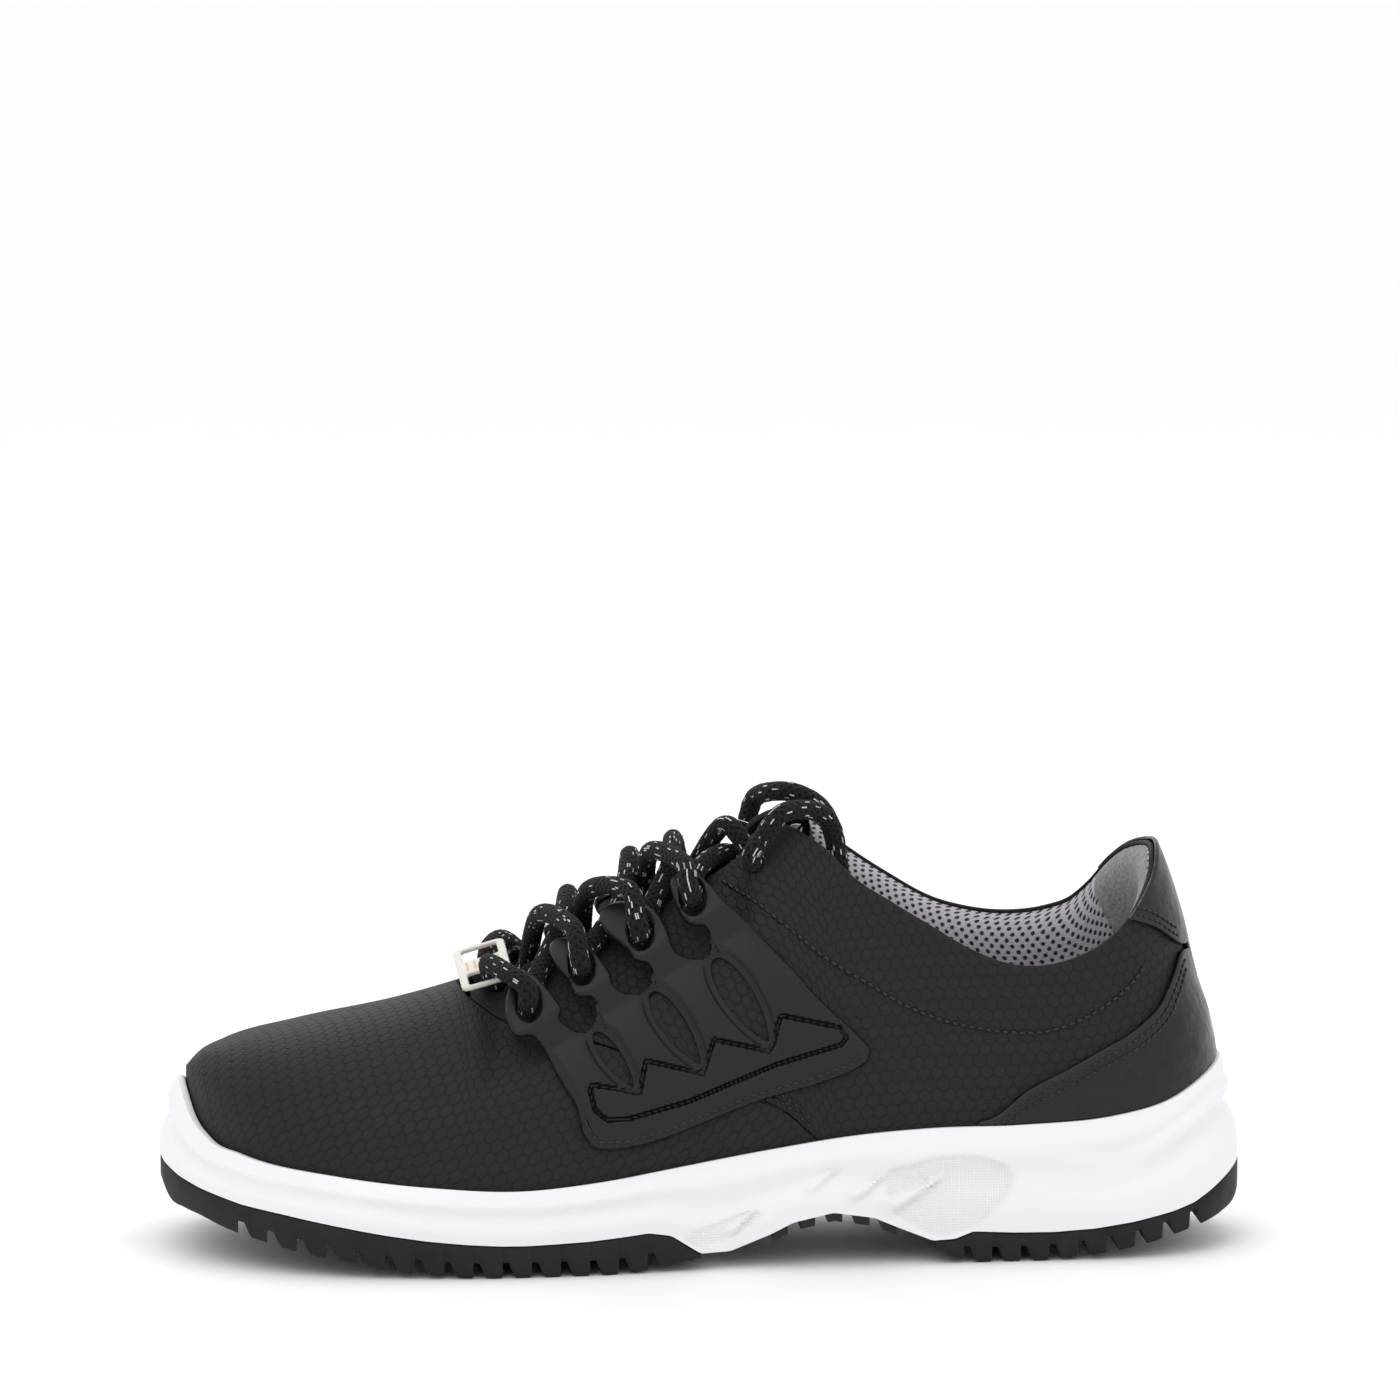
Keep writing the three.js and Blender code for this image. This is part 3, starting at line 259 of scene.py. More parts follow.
def rubber_unit(name, start, end, lugs_from, lugs_to):
    """One outsole unit. Stations run along it with extra ones on each groove wall; at each a loop of points
    goes across the tread, up the side and back over the top. Groove floors are a lug's depth above the tread
    level."""
    close = 16 * np.linspace(0, 1, 24) ** 2
    stations = [(x, 0.0) for x in [*(start + close), *np.arange(start + 17, end - 17, 1.6), *(end - close)]]
    cuts = [(x, x + lug_pitch - lug_length) for x in np.arange(lugs_from + lug_length, lugs_to, lug_pitch)
            if x + lug_pitch - lug_length < lugs_to]
    stations = [(x, c) for x, c in stations if not any(a - 0.9 < x < b + 0.9 for a, b in cuts)]
    for a, b in cuts:
        stations += [(a - 0.35, 0), (a, 0.06), (a + 0.25, 0.3), (a + 0.55, 1), (b - 0.55, 1), (b - 0.25, 0.3),
                     (b, 0.06), (b + 0.35, 0)]
    stations.sort()
    x, cut = np.array(stations).T
    reach, level, top = sole_reach(x), np.maximum(0, tread(x)), underside(x) - fit
    floor = np.minimum(level + lug_depth, top - 1.1)
    level = np.minimum(level, floor)
    across = np.unique(np.concatenate([np.linspace(-0.96, 0.96, 17), *[
        s * 0.36 + np.array([-1.6, -1, -0.6, 0.6, 1, 1.6]) * channel / 45 for s in (-1, 1)]]))
    in_channel = np.max([np.clip(2.2 - np.abs(across - s * 0.36) * 45 / channel, 0, 1) for s in (-1, 1)],
                        axis=0)
    run_out = smooth((np.minimum(x - start, end - x) - 16) / 6)
    depth = np.maximum(cut[:, None], in_channel[None] * 0.85 * run_out[:, None])
    inner_z = level[:, None] + depth * (floor - level)[:, None]
    lean = lug_lean * (cut[:, None] * np.ones(len(across)))
    across_y = sole_centre(x)[:, None] + across * reach[:, None]
    bottom = np.stack([x[:, None] - lean, across_y, inner_z], -1)

    def side(sign, share, out):
        low = level + cut * (floor - level)
        z = low + share * (top - low)
        y = sole_centre(x) + sign * np.maximum(reach + out, 0)
        return np.stack([x - lug_lean * cut * (1 - share), y, z], -1)
    profile = [(0.0, -0.9), (0.05, -0.25), (0.2, 0.1), (0.55, 0.25), (0.9, 0.1), (1.0, -0.3)]
    right = [side(1, share, out) for share, out in profile]
    left = [side(-1, share, out) for share, out in profile[::-1]]
    loop = np.concatenate([bottom, np.stack(right + left, 1)], 1)
    middle = loop.mean(1, keepdims=True).repeat(loop.shape[1], 1)
    loop = np.concatenate([middle[:1], loop, middle[-1:]])
    piece = ring(name, loop.transpose(1, 0, 2), [rubber], smooth_angle=32)
    return place(piece, "shoe", "outsole_rubber", name.replace("_tread", ""))


# Moulded carbon-black rubber: dull, faintly mottled, with a fine mould texture of about 0.4 mm.
rubber, tree, shader = finish_named("moulded_black_rubber", "#141415", 0.62, Specular_IOR_Level=0.3)
fine = grain(tree, 0.4)
bump(tree, shader, fine.outputs["Fac"], 0.05)
vary(tree, shader, "Roughness", grain(tree, 9).outputs["Fac"], 0.55, 0.72)

rubber_unit("outsole_forefoot_tread", -147.6, -3, -131, -8)
rubber_unit("outsole_heel_tread", 61, 147.6, 64, 141)

# ---- Arch shank ----
# A thin black plastic bridge under the waist of the sole, ribbed across; the rib ends show as short dashes.
# It is injection moulded and keeps the waist from bending.

plastic_black, tree, shader = finish_named("moulded_black_nylon", "#101011", 0.5, Specular_IOR_Level=0.35)
bump(tree, shader, grain(tree, 0.6).outputs["Fac"], 0.03)
refinish("arch_shank", plastic_black)

# ---- Midsole ----
# A white foam cup, injection moulded: a rolled rim round the upper, a swelling wall, dotted panels and raised
# fins at the arch and shallow flutes that rise to the heel. Its skin is smooth and slightly glossy.

half_width = curve([
    (-140.5, 44), (-115, 47.5), (-90, 49.5), (-65, 49.5), (-35, 45), (0, 38), (35, 34.5), (70, 34),
    (140.5, 34.5)])
insole = curve([
    (-140.5, 26), (-115, 18.5), (-90, 15), (-60, 13), (-30, 14), (0, 18.5), (30, 23.5), (60, 26), (100, 27),
    (140.5, 30)])
ridge = curve([
    (-140.5, 48), (-137, 51.5), (-130, 55), (-110, 60.5), (-82, 67), (-66, 72), (-40, 83.5), (-10, 101),
    (20, 122), (50, 142), (90, 160), (140.5, 170)])
shoulder = curve([(-140.5, 3.2), (-110, 2.6), (-70, 2.1), (-20, 1.8), (30, 1.7), (80, 1.8), (140.5, 2)])
crown = curve([(-140.5, 2.6), (-110, 2.4), (-70, 2.1), (-20, 1.8), (30, 1.7), (80, 1.8), (140.5, 1.9)])
heel_curve = curve([
    (20, -3.5), (30, -1.8), (40, 0), (50, 0), (62, -2.2), (71, -5.2), (91, -10.2), (104, -14.6), (120, -22)])
feather = curve([
    (-140.5, 45), (-138, 38), (-133, 32), (-125, 29.5), (-100, 26), (-75, 23.5), (-50, 22.3), (-30, 24),
    (-10, 27), (15, 31), (40, 34.5), (60, 36), (85, 36.5), (110, 38.5), (125, 42), (135, 47), (140.5, 50)])


def last_point(theta, phi):
    """The last at turn theta (0 at the toe, +-pi at the heel) and rise phi (0 at the insole, pi/2 at the
    ridge): x = -half cos(theta); the section is a superellipse arch, |y| = width (1 - h^shoulder)^(1/crown),
    h = sin(phi)."""
    theta, phi = np.broadcast_arrays(np.asarray(theta, float), np.asarray(phi, float))
    x = -last_half * np.cos(theta)
    h = np.clip(np.sin(phi), -1, 1)
    reach = half_width(x) * plan_round(x, last_half, 62, 42)
    side = np.sign(np.sin(theta)) * np.sign(np.cos(phi))
    y = centre_line(x) + side * reach * (1 - np.abs(h) ** shoulder(x)) ** (1 / crown(x))
    z = insole(x) + h * (ridge(x) - insole(x))
    return np.stack([x + heel_curve(z) * smooth((x - 45) / (last_half - 45)), y, z], -1)


def last_normal(theta, phi):
    """The outward normal of the last, from small steps either way."""
    theta, phi = np.broadcast_arrays(np.asarray(theta, float), np.asarray(phi, float))
    step = 1e-3
    on_ridge = np.abs(phi - math.pi / 2) < 2e-3
    theta = np.where(on_ridge, np.maximum(np.abs(theta), 0.05), theta)
    phi = np.where(on_ridge, math.pi / 2, phi)
    along = last_point(theta + step, phi) - last_point(theta - step, phi)
    up = last_point(theta, phi + step) - last_point(theta, phi - step)
    normal = np.cross(up, along)
    return normal / np.linalg.norm(normal, axis=-1, keepdims=True)


def skin(theta, phi, out):
    """A point of the shoe's upper, pushed out from the last along its normal."""
    point = last_point(theta, phi)
    distance = out(point) if callable(out) else out
    return point + last_normal(theta, phi) * np.asarray(distance, float)[..., None]


def phi_at(x, z):
    """The rise at which the last at station x has height z."""
    return np.arcsin(np.clip((z - insole(x)) / (ridge(x) - insole(x)), 0, 1))


def station(turns):
    """The station along the last at each turn."""
    return -last_half * np.cos(turns)


def even_turns(first, last, spacing):
    """Turns between two, spaced evenly along the plan outline at half height."""
    fine_turns = np.linspace(first, last, 4000)
    x = station(fine_turns)
    line = last_point(fine_turns, phi_at(x, insole(x) + 12))
    run = run_along(line)
    return np.interp(np.linspace(0, run[-1], max(3, int(run[-1] / spacing) + 1)), run, fine_turns)


def outline_distance(points, outline, closed=True):
    """For points in a plane, the nearest point on an outline of straight pieces and the distance to it,
    negative inside a closed outline (counted by crossings of a level line)."""
    a = np.asarray(outline, float)
    b = np.roll(a, -1, axis=0) if closed else a[1:]
    a = a if closed else a[:-1]
    shape = points.shape
    points = points.reshape(-1, 2)
    best = np.full(len(points), np.inf)
    nearest = np.zeros_like(points)
    inside = np.zeros(len(points), bool)
    for p, q in zip(a, b):
        d = q - p
        t = np.clip(((points - p) @ d) / max(d @ d, 1e-9), 0, 1)
        spot = p + t[:, None] * d
        gap = np.linalg.norm(points - spot, axis=1)
        closer = gap < best
        best[closer] = gap[closer]
        nearest[closer] = spot[closer]
        if closed and p[1] != q[1]:
            crosses = (points[:, 1] > min(p[1], q[1])) & (points[:, 1] <= max(p[1], q[1]))
            inside ^= crosses & (points[:, 0] < p[0] + (points[:, 1] - p[1]) * d[0] / d[1])
    return nearest.reshape(shape), np.where(inside, -best, best).reshape(shape[:-1])


def rounded(outline, rounds=5):
    """A closed outline made smooth: Catmull-Rom pieces through its points."""
    p = np.asarray(outline, float)
    before, after, next_one = np.roll(p, 1, 0), np.roll(p, -1, 0), np.roll(p, -2, 0)
    t = (np.arange(rounds) / rounds)[None, :, None]
    p, before, after, next_one = (a[:, None] for a in (p, before, after, next_one))
    full = 0.5 * (2 * p + (after - before) * t + (2 * before - 5 * p + 4 * after - next_one) * t**2
                  + (3 * p - before - 3 * after + next_one) * t**3)
    return full.reshape(-1, 2)


large_panel = rounded([
    (47.5, 25.1), (53, 27.2), (59.4, 29), (65.8, 29.7), (73.1, 29.3), (78.6, 27.5), (81.8, 24.2), (82.1, 21),
    (80.4, 17.3), (76.7, 13.6), (73.1, 10), (68.5, 7.1), (63, 6.4), (57.6, 7.9), (51.2, 12), (47.5, 15)])
small_panel = rounded([
    (-7.4, 9.8), (2, 13.5), (11, 16.3), (14, 14.5), (10, 11), (5.5, 8), (-1, 6), (-5.5, 6)])
fins = [((45.5, 13.5), (64.4, 24.2), 3.0, 2.2), ((36.5, 17.5), (48.5, 25), 2.6, 1.8),
        ((25, 19.5), (35.5, 27.5), 2.2, 1.3),
        ((3.5, 8.5), (12.6, 16.8), 1.6, 1.6)]


def side_relief(x, z):
    """Relief of the midsole's side in millimetres and the dotted panels' mask, at side view places x and
    z."""
    spots = np.stack([x.ravel(), z.ravel()], -1)
    relief = np.zeros(len(spots))
    dotted = np.zeros(len(spots))
    for outline, depth in ((large_panel, 0.9), (small_panel, 0.6)):
        gap = outline_distance(spots, outline)[1]
        relief -= depth * smooth(-gap / 1.2)
        dotted = np.maximum(dotted, smooth(-gap / 0.8))
    for (x0, z0), (x1, z1), width, height in fins:
        start, along = np.array([x0, z0]), np.array([x1 - x0, z1 - z0])
        length = np.hypot(*along)
        along = along / length
        t = (spots - start) @ along / length
        across = (spots - start) @ np.array([-along[1], along[0]])
        spread = width * np.clip(1.15 - t, 0.15, 1)
        body = smooth((1 - np.abs(across - 0.4 * spread) / spread) * 1.6) * smooth(t * 4)
        body *= smooth((1 - t) * 3.5)
        relief += height * body
        dotted *= 1 - smooth(body * 3)
    for foot, rise, width, height in ((19.5, 20, 5.5, 1.5), (29.5, 17, 4, 1.2)):
        line = foot + rise * smooth((spots[:, 0] - 104) / 46) ** 1.3
        flute = np.exp(-((spots[:, 1] - line) / width * 1.8) ** 2)
        relief -= height * flute * smooth((spots[:, 0] - 84) / 34)
    return relief.reshape(x.shape), dotted.reshape(x.shape)


wall_swell = curve([(0, 0), (0.3, 0.9), (0.55, -0.1), (0.8, 1.5), (1, 0.5)])


def midsole_columns(turns):
    """Profiles round the sole, each from the middle of the underside out to the edge, up the wall, over the
    rolled rim and down inside the cup to the middle of its floor. Relief is pushed along the horizontal
    outward direction."""
    edge_x = -half * np.cos(turns)
    side = np.sign(np.sin(turns))
    spine_x = np.clip(edge_x, -108, 115)
    last_x = station(turns)
    edge_y = sole_centre(edge_x) + side * sole_reach(edge_x)

    def under(share):
        x = spine_x + (edge_x - spine_x) * share
        return np.stack([x, sole_centre(spine_x) + (edge_y - sole_centre(spine_x)) * share, underside(x)], -1)
    bottom = under(1)
    rim = skin(turns, phi_at(last_x, feather(last_x) - 0.9), fit + 2.2)
    outward = bottom - np.stack([spine_x, sole_centre(spine_x), bottom[:, 2]], -1)
    outward[:, 2] = 0
    outward /= np.linalg.norm(outward, axis=1, keepdims=True)
    shares = np.linspace(0, 1, 46)
    wall = bottom[:, None] + (rim - bottom)[:, None] * shares[None, :, None]
    relief, dotted = side_relief(wall[..., 0], wall[..., 2])
    ends = smooth(shares / 0.05) * smooth((1 - shares) / 0.06)
    swell = wall_swell(shares)[None] + relief * ends[None]
    wall = wall + outward[:, None] * swell[..., None]
    corner = bottom - outward * 0.5 + [0, 0, 0.05]
    rise = phi_at(last_x, feather(last_x))
    step = phi_at(last_x, feather(last_x) + 0.35)
    lip = [*(skin(turns, step, fit + out) for out in (1.9, 1.2, 0.5)), skin(turns, rise, fit)]
    floor = skin(turns, np.zeros_like(turns), fit)
    floor[:, 2] = insole(last_x) - fit
    floor_x = np.clip(last_x, -108 * last_half / half, 115 * last_half / half)
    middle = np.stack([floor_x, centre_line(floor_x), insole(floor_x) - fit], -1)
    grid = np.concatenate([np.stack([under(0), under(0.5), under(0.85), corner], 1), wall,
                           np.stack([*lip, skin(turns, rise * 0.5, fit), floor, middle], 1)], 1)
    mask = np.zeros(grid.shape[:2])
    mask[:, 4:4 + len(shares)] = dotted * ends
    return grid, mask


# Injection-moulded EVA foam, white: a smooth skin with a soft sheen, faint greying in its hollows, and on the
# arch panels a grid of dots 1.5 mm apart.
foam_white, tree, shader = finish_named("moulded_white_eva", "#e4e5e8", 0.42, Specular_IOR_Level=0.45,
                                        Subsurface_Weight=0.08, Subsurface_Scale=0.003)
spot = add(tree, "ShaderNodeTexCoord")
apart = add(tree, "ShaderNodeSeparateXYZ", {}, {0: spot.outputs["Object"]})
waves = [add(tree, "ShaderNodeMath", {1: 2 * math.pi / 0.0015}, {0: apart.outputs[axis]},
             operation="MULTIPLY") for axis in "XZ"]
turned = [add(tree, "ShaderNodeMath", {}, {0: waves[0].outputs[0], 1: waves[1].outputs[0]}, operation=kind)
          for kind in ("ADD", "SUBTRACT")]
peaks = [add(tree, "ShaderNodeMath", {}, {0: wave.outputs[0]}, operation="SINE") for wave in turned]
dots = add(tree, "ShaderNodeMath", {}, {0: peaks[0].outputs[0], 1: peaks[1].outputs[0]}, operation="MULTIPLY")
panel_mask = add(tree, "ShaderNodeAttribute", attribute_name="dotted")
masked = add(tree, "ShaderNodeMath", {}, {0: dots.outputs[0], 1: panel_mask.outputs["Fac"]},
             operation="MULTIPLY")
bump(tree, shader, masked.outputs[0], 0.1, under=bump(tree, shader, grain(tree, 1.2).outputs["Fac"], 0.02))

turns = even_turns(-math.pi + 1e-4, math.pi - 1e-4, 1.1)
columns, mask = midsole_columns(turns)
midsole = ring("midsole_cup", columns, [foam_white], values={"dotted": mask.ravel()}, smooth_angle=50)
place(midsole, "shoe", "midsole_foam", "midsole")

# ---- Lasting board and footbed ----
# A fibre board closes the upper underneath, and a removable foam footbed with a dark textile cover lies on
# it, turned up a little at its edge all round.

board_fibre, tree, shader = finish_named("lasting_fibre_board", "#c2b69d", 0.9)
bump(tree, shader, grain(tree, 0.8, 6).outputs["Fac"], 0.1)
refinish("lasting_board", board_fibre)

board_wall = 1.8


def footbed_columns(turns):
    """Profiles from the middle of the underside out round the edge and back over the cover to the middle."""
    x = station(turns)
    middle_x = np.clip(x, -102.5, 109)
    low = board_wall + fit
    edge = skin(turns, np.zeros_like(turns), -5.4)
    centre = np.stack([middle_x, centre_line(middle_x), insole(middle_x)], -1)
    rows = []
    for share, lift in ((0, low), (0.6, low), (0.97, low), (1, low + 0.6), (1, low + 2), (0.995, low + 3.5),
                        (0.975, low + 4.2),
                        (0.93, low + 4.15), (0.8, low + 3.9), (0.6, low + 3.7), (0.3, low + 3.6),
                        (0, low + 3.6)):
        row = centre + (edge - centre) * share
        row[:, 2] = insole(row[:, 0]) + lift
        rows.append(row)
    return np.stack(rows, 1)


# Dark grey knitted cover on foam: thread rows about 0.9 mm apart.
cover, tree, shader = finish_named("knitted_footbed_cover", "#3b3b40", 0.92, Sheen_Weight=0.25)
spot = add(tree, "ShaderNodeTexCoord")
knit = add(tree, "ShaderNodeTexWave", {"Scale": 170.0, "Distortion": 1.5}, {"Vector": spot.outputs["Object"]},
           wave_type="BANDS", bands_direction="DIAGONAL")
bump(tree, shader, knit.outputs["Fac"], 0.2)
footbed = ring("footbed_cover", footbed_columns(turns), [cover], smooth_angle=60)
place(footbed, "shoe", "footbed_textile", "footbed")

# ---- Vamp and quarters ----
# The outer upper: black microfibre 1.5 mm thick, hot-pressed with rounded six-sided scales about 3.5 mm
# across. The vamp covers the toe and runs back below the cages; a quarter on each side carries the eyelets
# and the collar.

outer_top = curve([
    (12, 113), (20, 116.2), (25, 115.2), (28, 113.5), (33.6, 109.5), (38, 104.8), (51, 96.1), (60, 91),
    (73, 84), (83, 80.4), (94, 79.5), (106, 81.9), (115, 85.5), (123, 90.4), (131, 97.2), (136, 102.5),
    (140.5, 108.7)])
inner_top = curve([
    (12, 114.5), (20, 118.2), (26, 118), (30, 116), (34, 113), (38, 109), (44, 104.3), (55, 97.1), (66, 91.1),
    (79, 87.4), (92, 86.1), (105, 87.3), (112, 89.3), (119, 93.7), (128, 101.3), (134, 105.5),
    (140.5, 108.7)])
throat_gap = curve([
    (-66, 0.5), (-64, 7), (-60, 11.5), (-53, 14.5), (-44, 13.5), (-36, 11.5), (-19, 10), (12, 9.2)])
vamp_seam = curve([
    (-66, 72), (-64.5, 70.5), (-60, 68.5), (-40, 63), (-20, 57), (0, 50), (14, 44.3), (19, 42), (29.6, 32.4),
    (36, 24)])
eyelet_row = lambda x: 67.3 + (x + 47) * 0.593
upper_wall, overlay_wall = 1.5, 1.2


def pressed_in(point):
    """How far the tied lace presses the upper in, along a band that follows the eyelets."""
    x, z = point[..., 0], point[..., 2]
    return 2.5 * smooth((z - eyelet_row(x) + 15) / 9) * smooth((x + 64) / 8) * smooth((16 - x) / 10)


def upper_at(distance):
    return lambda point: distance - pressed_in(point)


def phi_reach(x, y):
    """The rise at which the last at station x is y wide."""
    share = np.clip(y / (half_width(x) * plan_round(x, last_half, 62, 42)), 0, 1)
    return np.arcsin((1 - share ** crown(x)) ** (1 / shoulder(x)))


def topline(x, inner):
    """The rise of the upper's top edge: the throat's edge up to the facing's corner, then the collar."""
    collar = np.where(inner, inner_top(x), outer_top(x))
    return np.where(x < 12, phi_reach(x, throat_gap(x)), phi_at(x, collar))


def edge_steps(count):
    """Shares from 0 to 1 that crowd near both ends, for a rolled edge there."""
    t = np.linspace(0, 1, count)
    roll = np.array([0, 0.12, 0.45, 1]) * 1.2 / count
    return np.concatenate([roll, t[2:-2], 1 - roll[::-1]])


def shell(name, outer, inner, materials, keep=None, joined=None, uv=None, values={}, which=None,
          smooth_angle=45):
    """A closed wall between two matching grids of points (columns, rows, 3), with faces only where keep is
    true and a border wall round them. joined marks the columns whose last row meets its twin, so that no wall
    goes there."""
    columns, rows = outer.shape[:2]
    ids = np.arange(columns * rows).reshape(columns, rows)
    keep = np.ones((columns - 1, rows - 1), bool) if keep is None else keep
    quads = np.stack([ids[:-1, :-1], ids[1:, :-1], ids[1:, 1:], ids[:-1, 1:]], -1)[keep]
    shift = columns * rows
    padded = np.pad(keep, 1)
    here, before = padded[1:, 1:-1], padded[:-1, 1:-1]
    above, below = padded[1:-1, 1:], padded[1:-1, :-1]
    if joined is not None:
        above = above.copy()
        above[:, -1] |= joined & below[:, -1]
    walls = []
    for mask, first, second in ((here & ~before, ids[:, :-1], ids[:, 1:]),
                                (before & ~here, ids[:, 1:], ids[:, :-1]),
                                (below & ~above, ids[:-1], ids[1:]), (above & ~below, ids[1:], ids[:-1])):
        a, b = first[mask], second[mask]
        walls.append(np.stack([a, b, b + shift, a + shift], -1))
    faces = np.concatenate([quads, quads[:, ::-1] + shift, *walls])
    points = np.concatenate([outer.reshape(-1, 3), inner.reshape(-1, 3)])
    uv = None if uv is None else np.concatenate([uv.reshape(-1, 2)] * 2)
    values = {key: np.concatenate([np.ravel(value)] * 2) for key, value in values.items()}
    if which is not None:
        chosen = which[keep]
        which = np.concatenate([chosen, chosen, np.zeros(len(faces) - 2 * len(chosen), int)])
    return mesh(name, points, faces, materials, uv=uv, values=values, which=which, smooth_angle=smooth_angle)


def border_of(keep, outside_is_gone=True):
    """The grid points that lie between kept and left-out faces."""
    gone, kept = np.pad(~keep, 1, constant_values=outside_is_gone), np.pad(keep, 1)
    near_gone, near_kept = (a[1:, 1:] | a[:-1, 1:] | a[1:, :-1] | a[:-1, :-1] for a in (gone, kept))
    return near_gone & near_kept


def cut_sheet(flat, outline, holes):
    """A flat grid cut to an outline with holes: the points with those on the border moved onto the nearest
    line, their distance from it (negative inside), and the faces kept."""
    near, distance = outline_distance(flat, outline)
    middle = (flat[:-1, :-1] + flat[1:, 1:]) / 2
    keep = outline_distance(middle, outline)[1] < 0
    for hole in holes:
        near_hole, away = outline_distance(flat, hole)
        closer = -away > distance
        near = np.where(closer[..., None], near_hole, near)
        distance = np.where(closer, -away, distance)
        keep &= outline_distance(middle, hole)[1] > 0
    border = border_of(keep)
    return np.where(border[..., None], near, flat), np.where(border, 0, distance), keep


def flat_uv(grid, origin_row=-1):
    """The cut sheet's own coordinates in millimetres: the run along each row, and up each column from a
    row."""
    along = np.linalg.norm(np.diff(grid, axis=0, prepend=grid[:1]), axis=-1).cumsum(0)
    middle = len(grid) // 2
    up = np.linalg.norm(np.diff(grid, axis=1, prepend=grid[:, :1]), axis=-1).cumsum(1)
    return np.stack([along - along[middle], up - up[:, origin_row][:, None]], -1) + 4000


def rolled(near, radius, reach=None):
    """How far a face draws back at a distance from its edge, for an edge rounded with the given radius. Reach
    is how far in the round goes where it is longer than deep."""
    t = np.clip(near / (reach or radius), 0, 1)
    return radius * (1 - np.sqrt(1 - (1 - t) ** 2))


def roll_edges(shares, width, radius):
    """The draw-back of a wall's face near both ends of its columns."""
    return rolled(np.minimum(shares * width, (1 - shares) * width), radius)


def upper_panel(turns, low, high, count, out=upper_at(0), wall=upper_wall, roll=0.55, joined=None):
    """The two faces of a panel of the upper, over a range of turns and between two rises."""
    shares = edge_steps(count)
    phi = low[:, None] + (high - low)[:, None] * shares
    theta = turns[:, None] * np.ones_like(phi)
    lie = last_point(theta, phi)
    width = np.linalg.norm(np.diff(lie, axis=1), axis=-1).sum(1)[:, None]
    back = roll_edges(shares[None], width, roll)
    if joined is not None:
        back = back * ~np.append(joined, False)[:, None]
    run = run_along(lie[:, count // 2])
    near = np.minimum(run, run[-1] - run)[:, None]
    back = np.maximum(back, rolled(near, roll))
    base = out(lie) if callable(out) else out
    outer = skin(theta, phi, base - back)
    inner = skin(theta, phi, base - wall + back * 0.4)
    return outer, inner


def lattice(tree, pitch, ratio, where="UV"):
    """The vector from the nearest point of a staggered lattice, in pitches, with rows ratio / 2 apart."""
    spot = add(tree, "ShaderNodeTexCoord")
    scaled = add(tree, "ShaderNodeVectorMath", {1: (1 / pitch,) * 3}, {0: spot.outputs[where]},
                 operation="MULTIPLY")
    cell, middle = (1, ratio, 1), (0.5, ratio / 2, 0.5)
    ways = []
    for offset in ((0, 0, 0), middle):
        moved = add(tree, "ShaderNodeVectorMath", {1: offset}, {0: scaled.outputs[0]}, operation="SUBTRACT")
        part = add(tree, "ShaderNodeVectorMath", {1: cell}, {0: moved.outputs[0]}, operation="MODULO")
        even = add(tree, "ShaderNodeVectorMath", {1: middle}, {0: part.outputs[0]}, operation="SUBTRACT")
        ways.append(add(tree, "ShaderNodeVectorMath", {1: (1, 1, 0)}, {0: even.outputs[0]},
                        operation="MULTIPLY"))
    sizes = [add(tree, "ShaderNodeVectorMath", {}, {0: way.outputs[0]}, operation="LENGTH") for way in ways]
    nearer = add(tree, "ShaderNodeMath", {}, {0: sizes[0].outputs["Value"], 1: sizes[1].outputs["Value"]},
                 operation="LESS_THAN")
    return add(tree, "ShaderNodeMix", {}, {0: nearer.outputs[0], 4: ways[1].outputs[0],
                                           5: ways[0].outputs[0]},
               data_type="VECTOR").outputs[1]


def band(tree, value, low, high):
    """A socket's value brought smoothly from 0 at low to 1 at high."""
    return add(tree, "ShaderNodeMapRange", {"From Min": low, "From Max": high}, {"Value": value},
               interpolation_type="SMOOTHSTEP").outputs[0]


# Hot-pressed microfibre, black: dull flat scales with rounded grooves between them, a fine suede-like grain
# under a thin polyurethane film, and a slight polish on the tops of the scales. The grooves are painted a
# little darker than the scale tops, as painted shade in them.
pressed_upper, tree, shader = finish_named("pressed_black_microfibre", "#141415", 0.6,
                                           Specular_IOR_Level=0.27)
near = lattice(tree, 3.5, math.sqrt(3))
size = add(tree, "ShaderNodeVectorMath", {}, {0: near}, operation="ABSOLUTE")
apart = add(tree, "ShaderNodeSeparateXYZ", {}, {0: size.outputs[0]})
slanted = add(tree, "ShaderNodeMath", {1: 0.866}, {0: apart.outputs["Y"]}, operation="MULTIPLY")
slanted = add(tree, "ShaderNodeMath", {1: 0.5}, {0: apart.outputs["X"], 2: slanted.outputs[0]},
              operation="MULTIPLY_ADD")
reach_in = add(tree, "ShaderNodeMath", {2: 0.12}, {0: apart.outputs["X"], 1: slanted.outputs[0]},
               operation="SMOOTH_MAX")
scale_top = band(tree, reach_in.outputs[0], 0.5, 0.36)
film = bump(tree, shader, grain(tree, 0.45, 6).outputs["Fac"], 0.09)
bump(tree, shader, scale_top, 0.11, under=film)
vary(tree, shader, "Roughness", scale_top, 0.68, 0.58)
# Painted shade: the grooves between the scales are coloured darker than the scale tops.
vary(tree, shader, "Base Color", scale_top, linear("#101011"), linear("#161617"))

turn_at = lambda x: np.arccos(np.clip(-np.asarray(x, float) / last_half, -1, 1))
vamp_turns = even_turns(-float(turn_at(34)), float(turn_at(34)), 1.1)
vamp_x = station(vamp_turns)
vamp_low = phi_at(vamp_x, np.maximum(feather(vamp_x) - 5, insole(vamp_x) + 0.5))
vamp_high = np.where(vamp_x <= -66, math.pi / 2, phi_at(vamp_x, vamp_seam(vamp_x)))
vamp_low = np.minimum(vamp_low, vamp_high - 0.02)
over_toe = (vamp_x[:-1] <= -66) & (vamp_x[1:] <= -66)
outer, inner = upper_panel(vamp_turns, vamp_low, vamp_high, 64, joined=over_toe)
uv = flat_uv(outer)
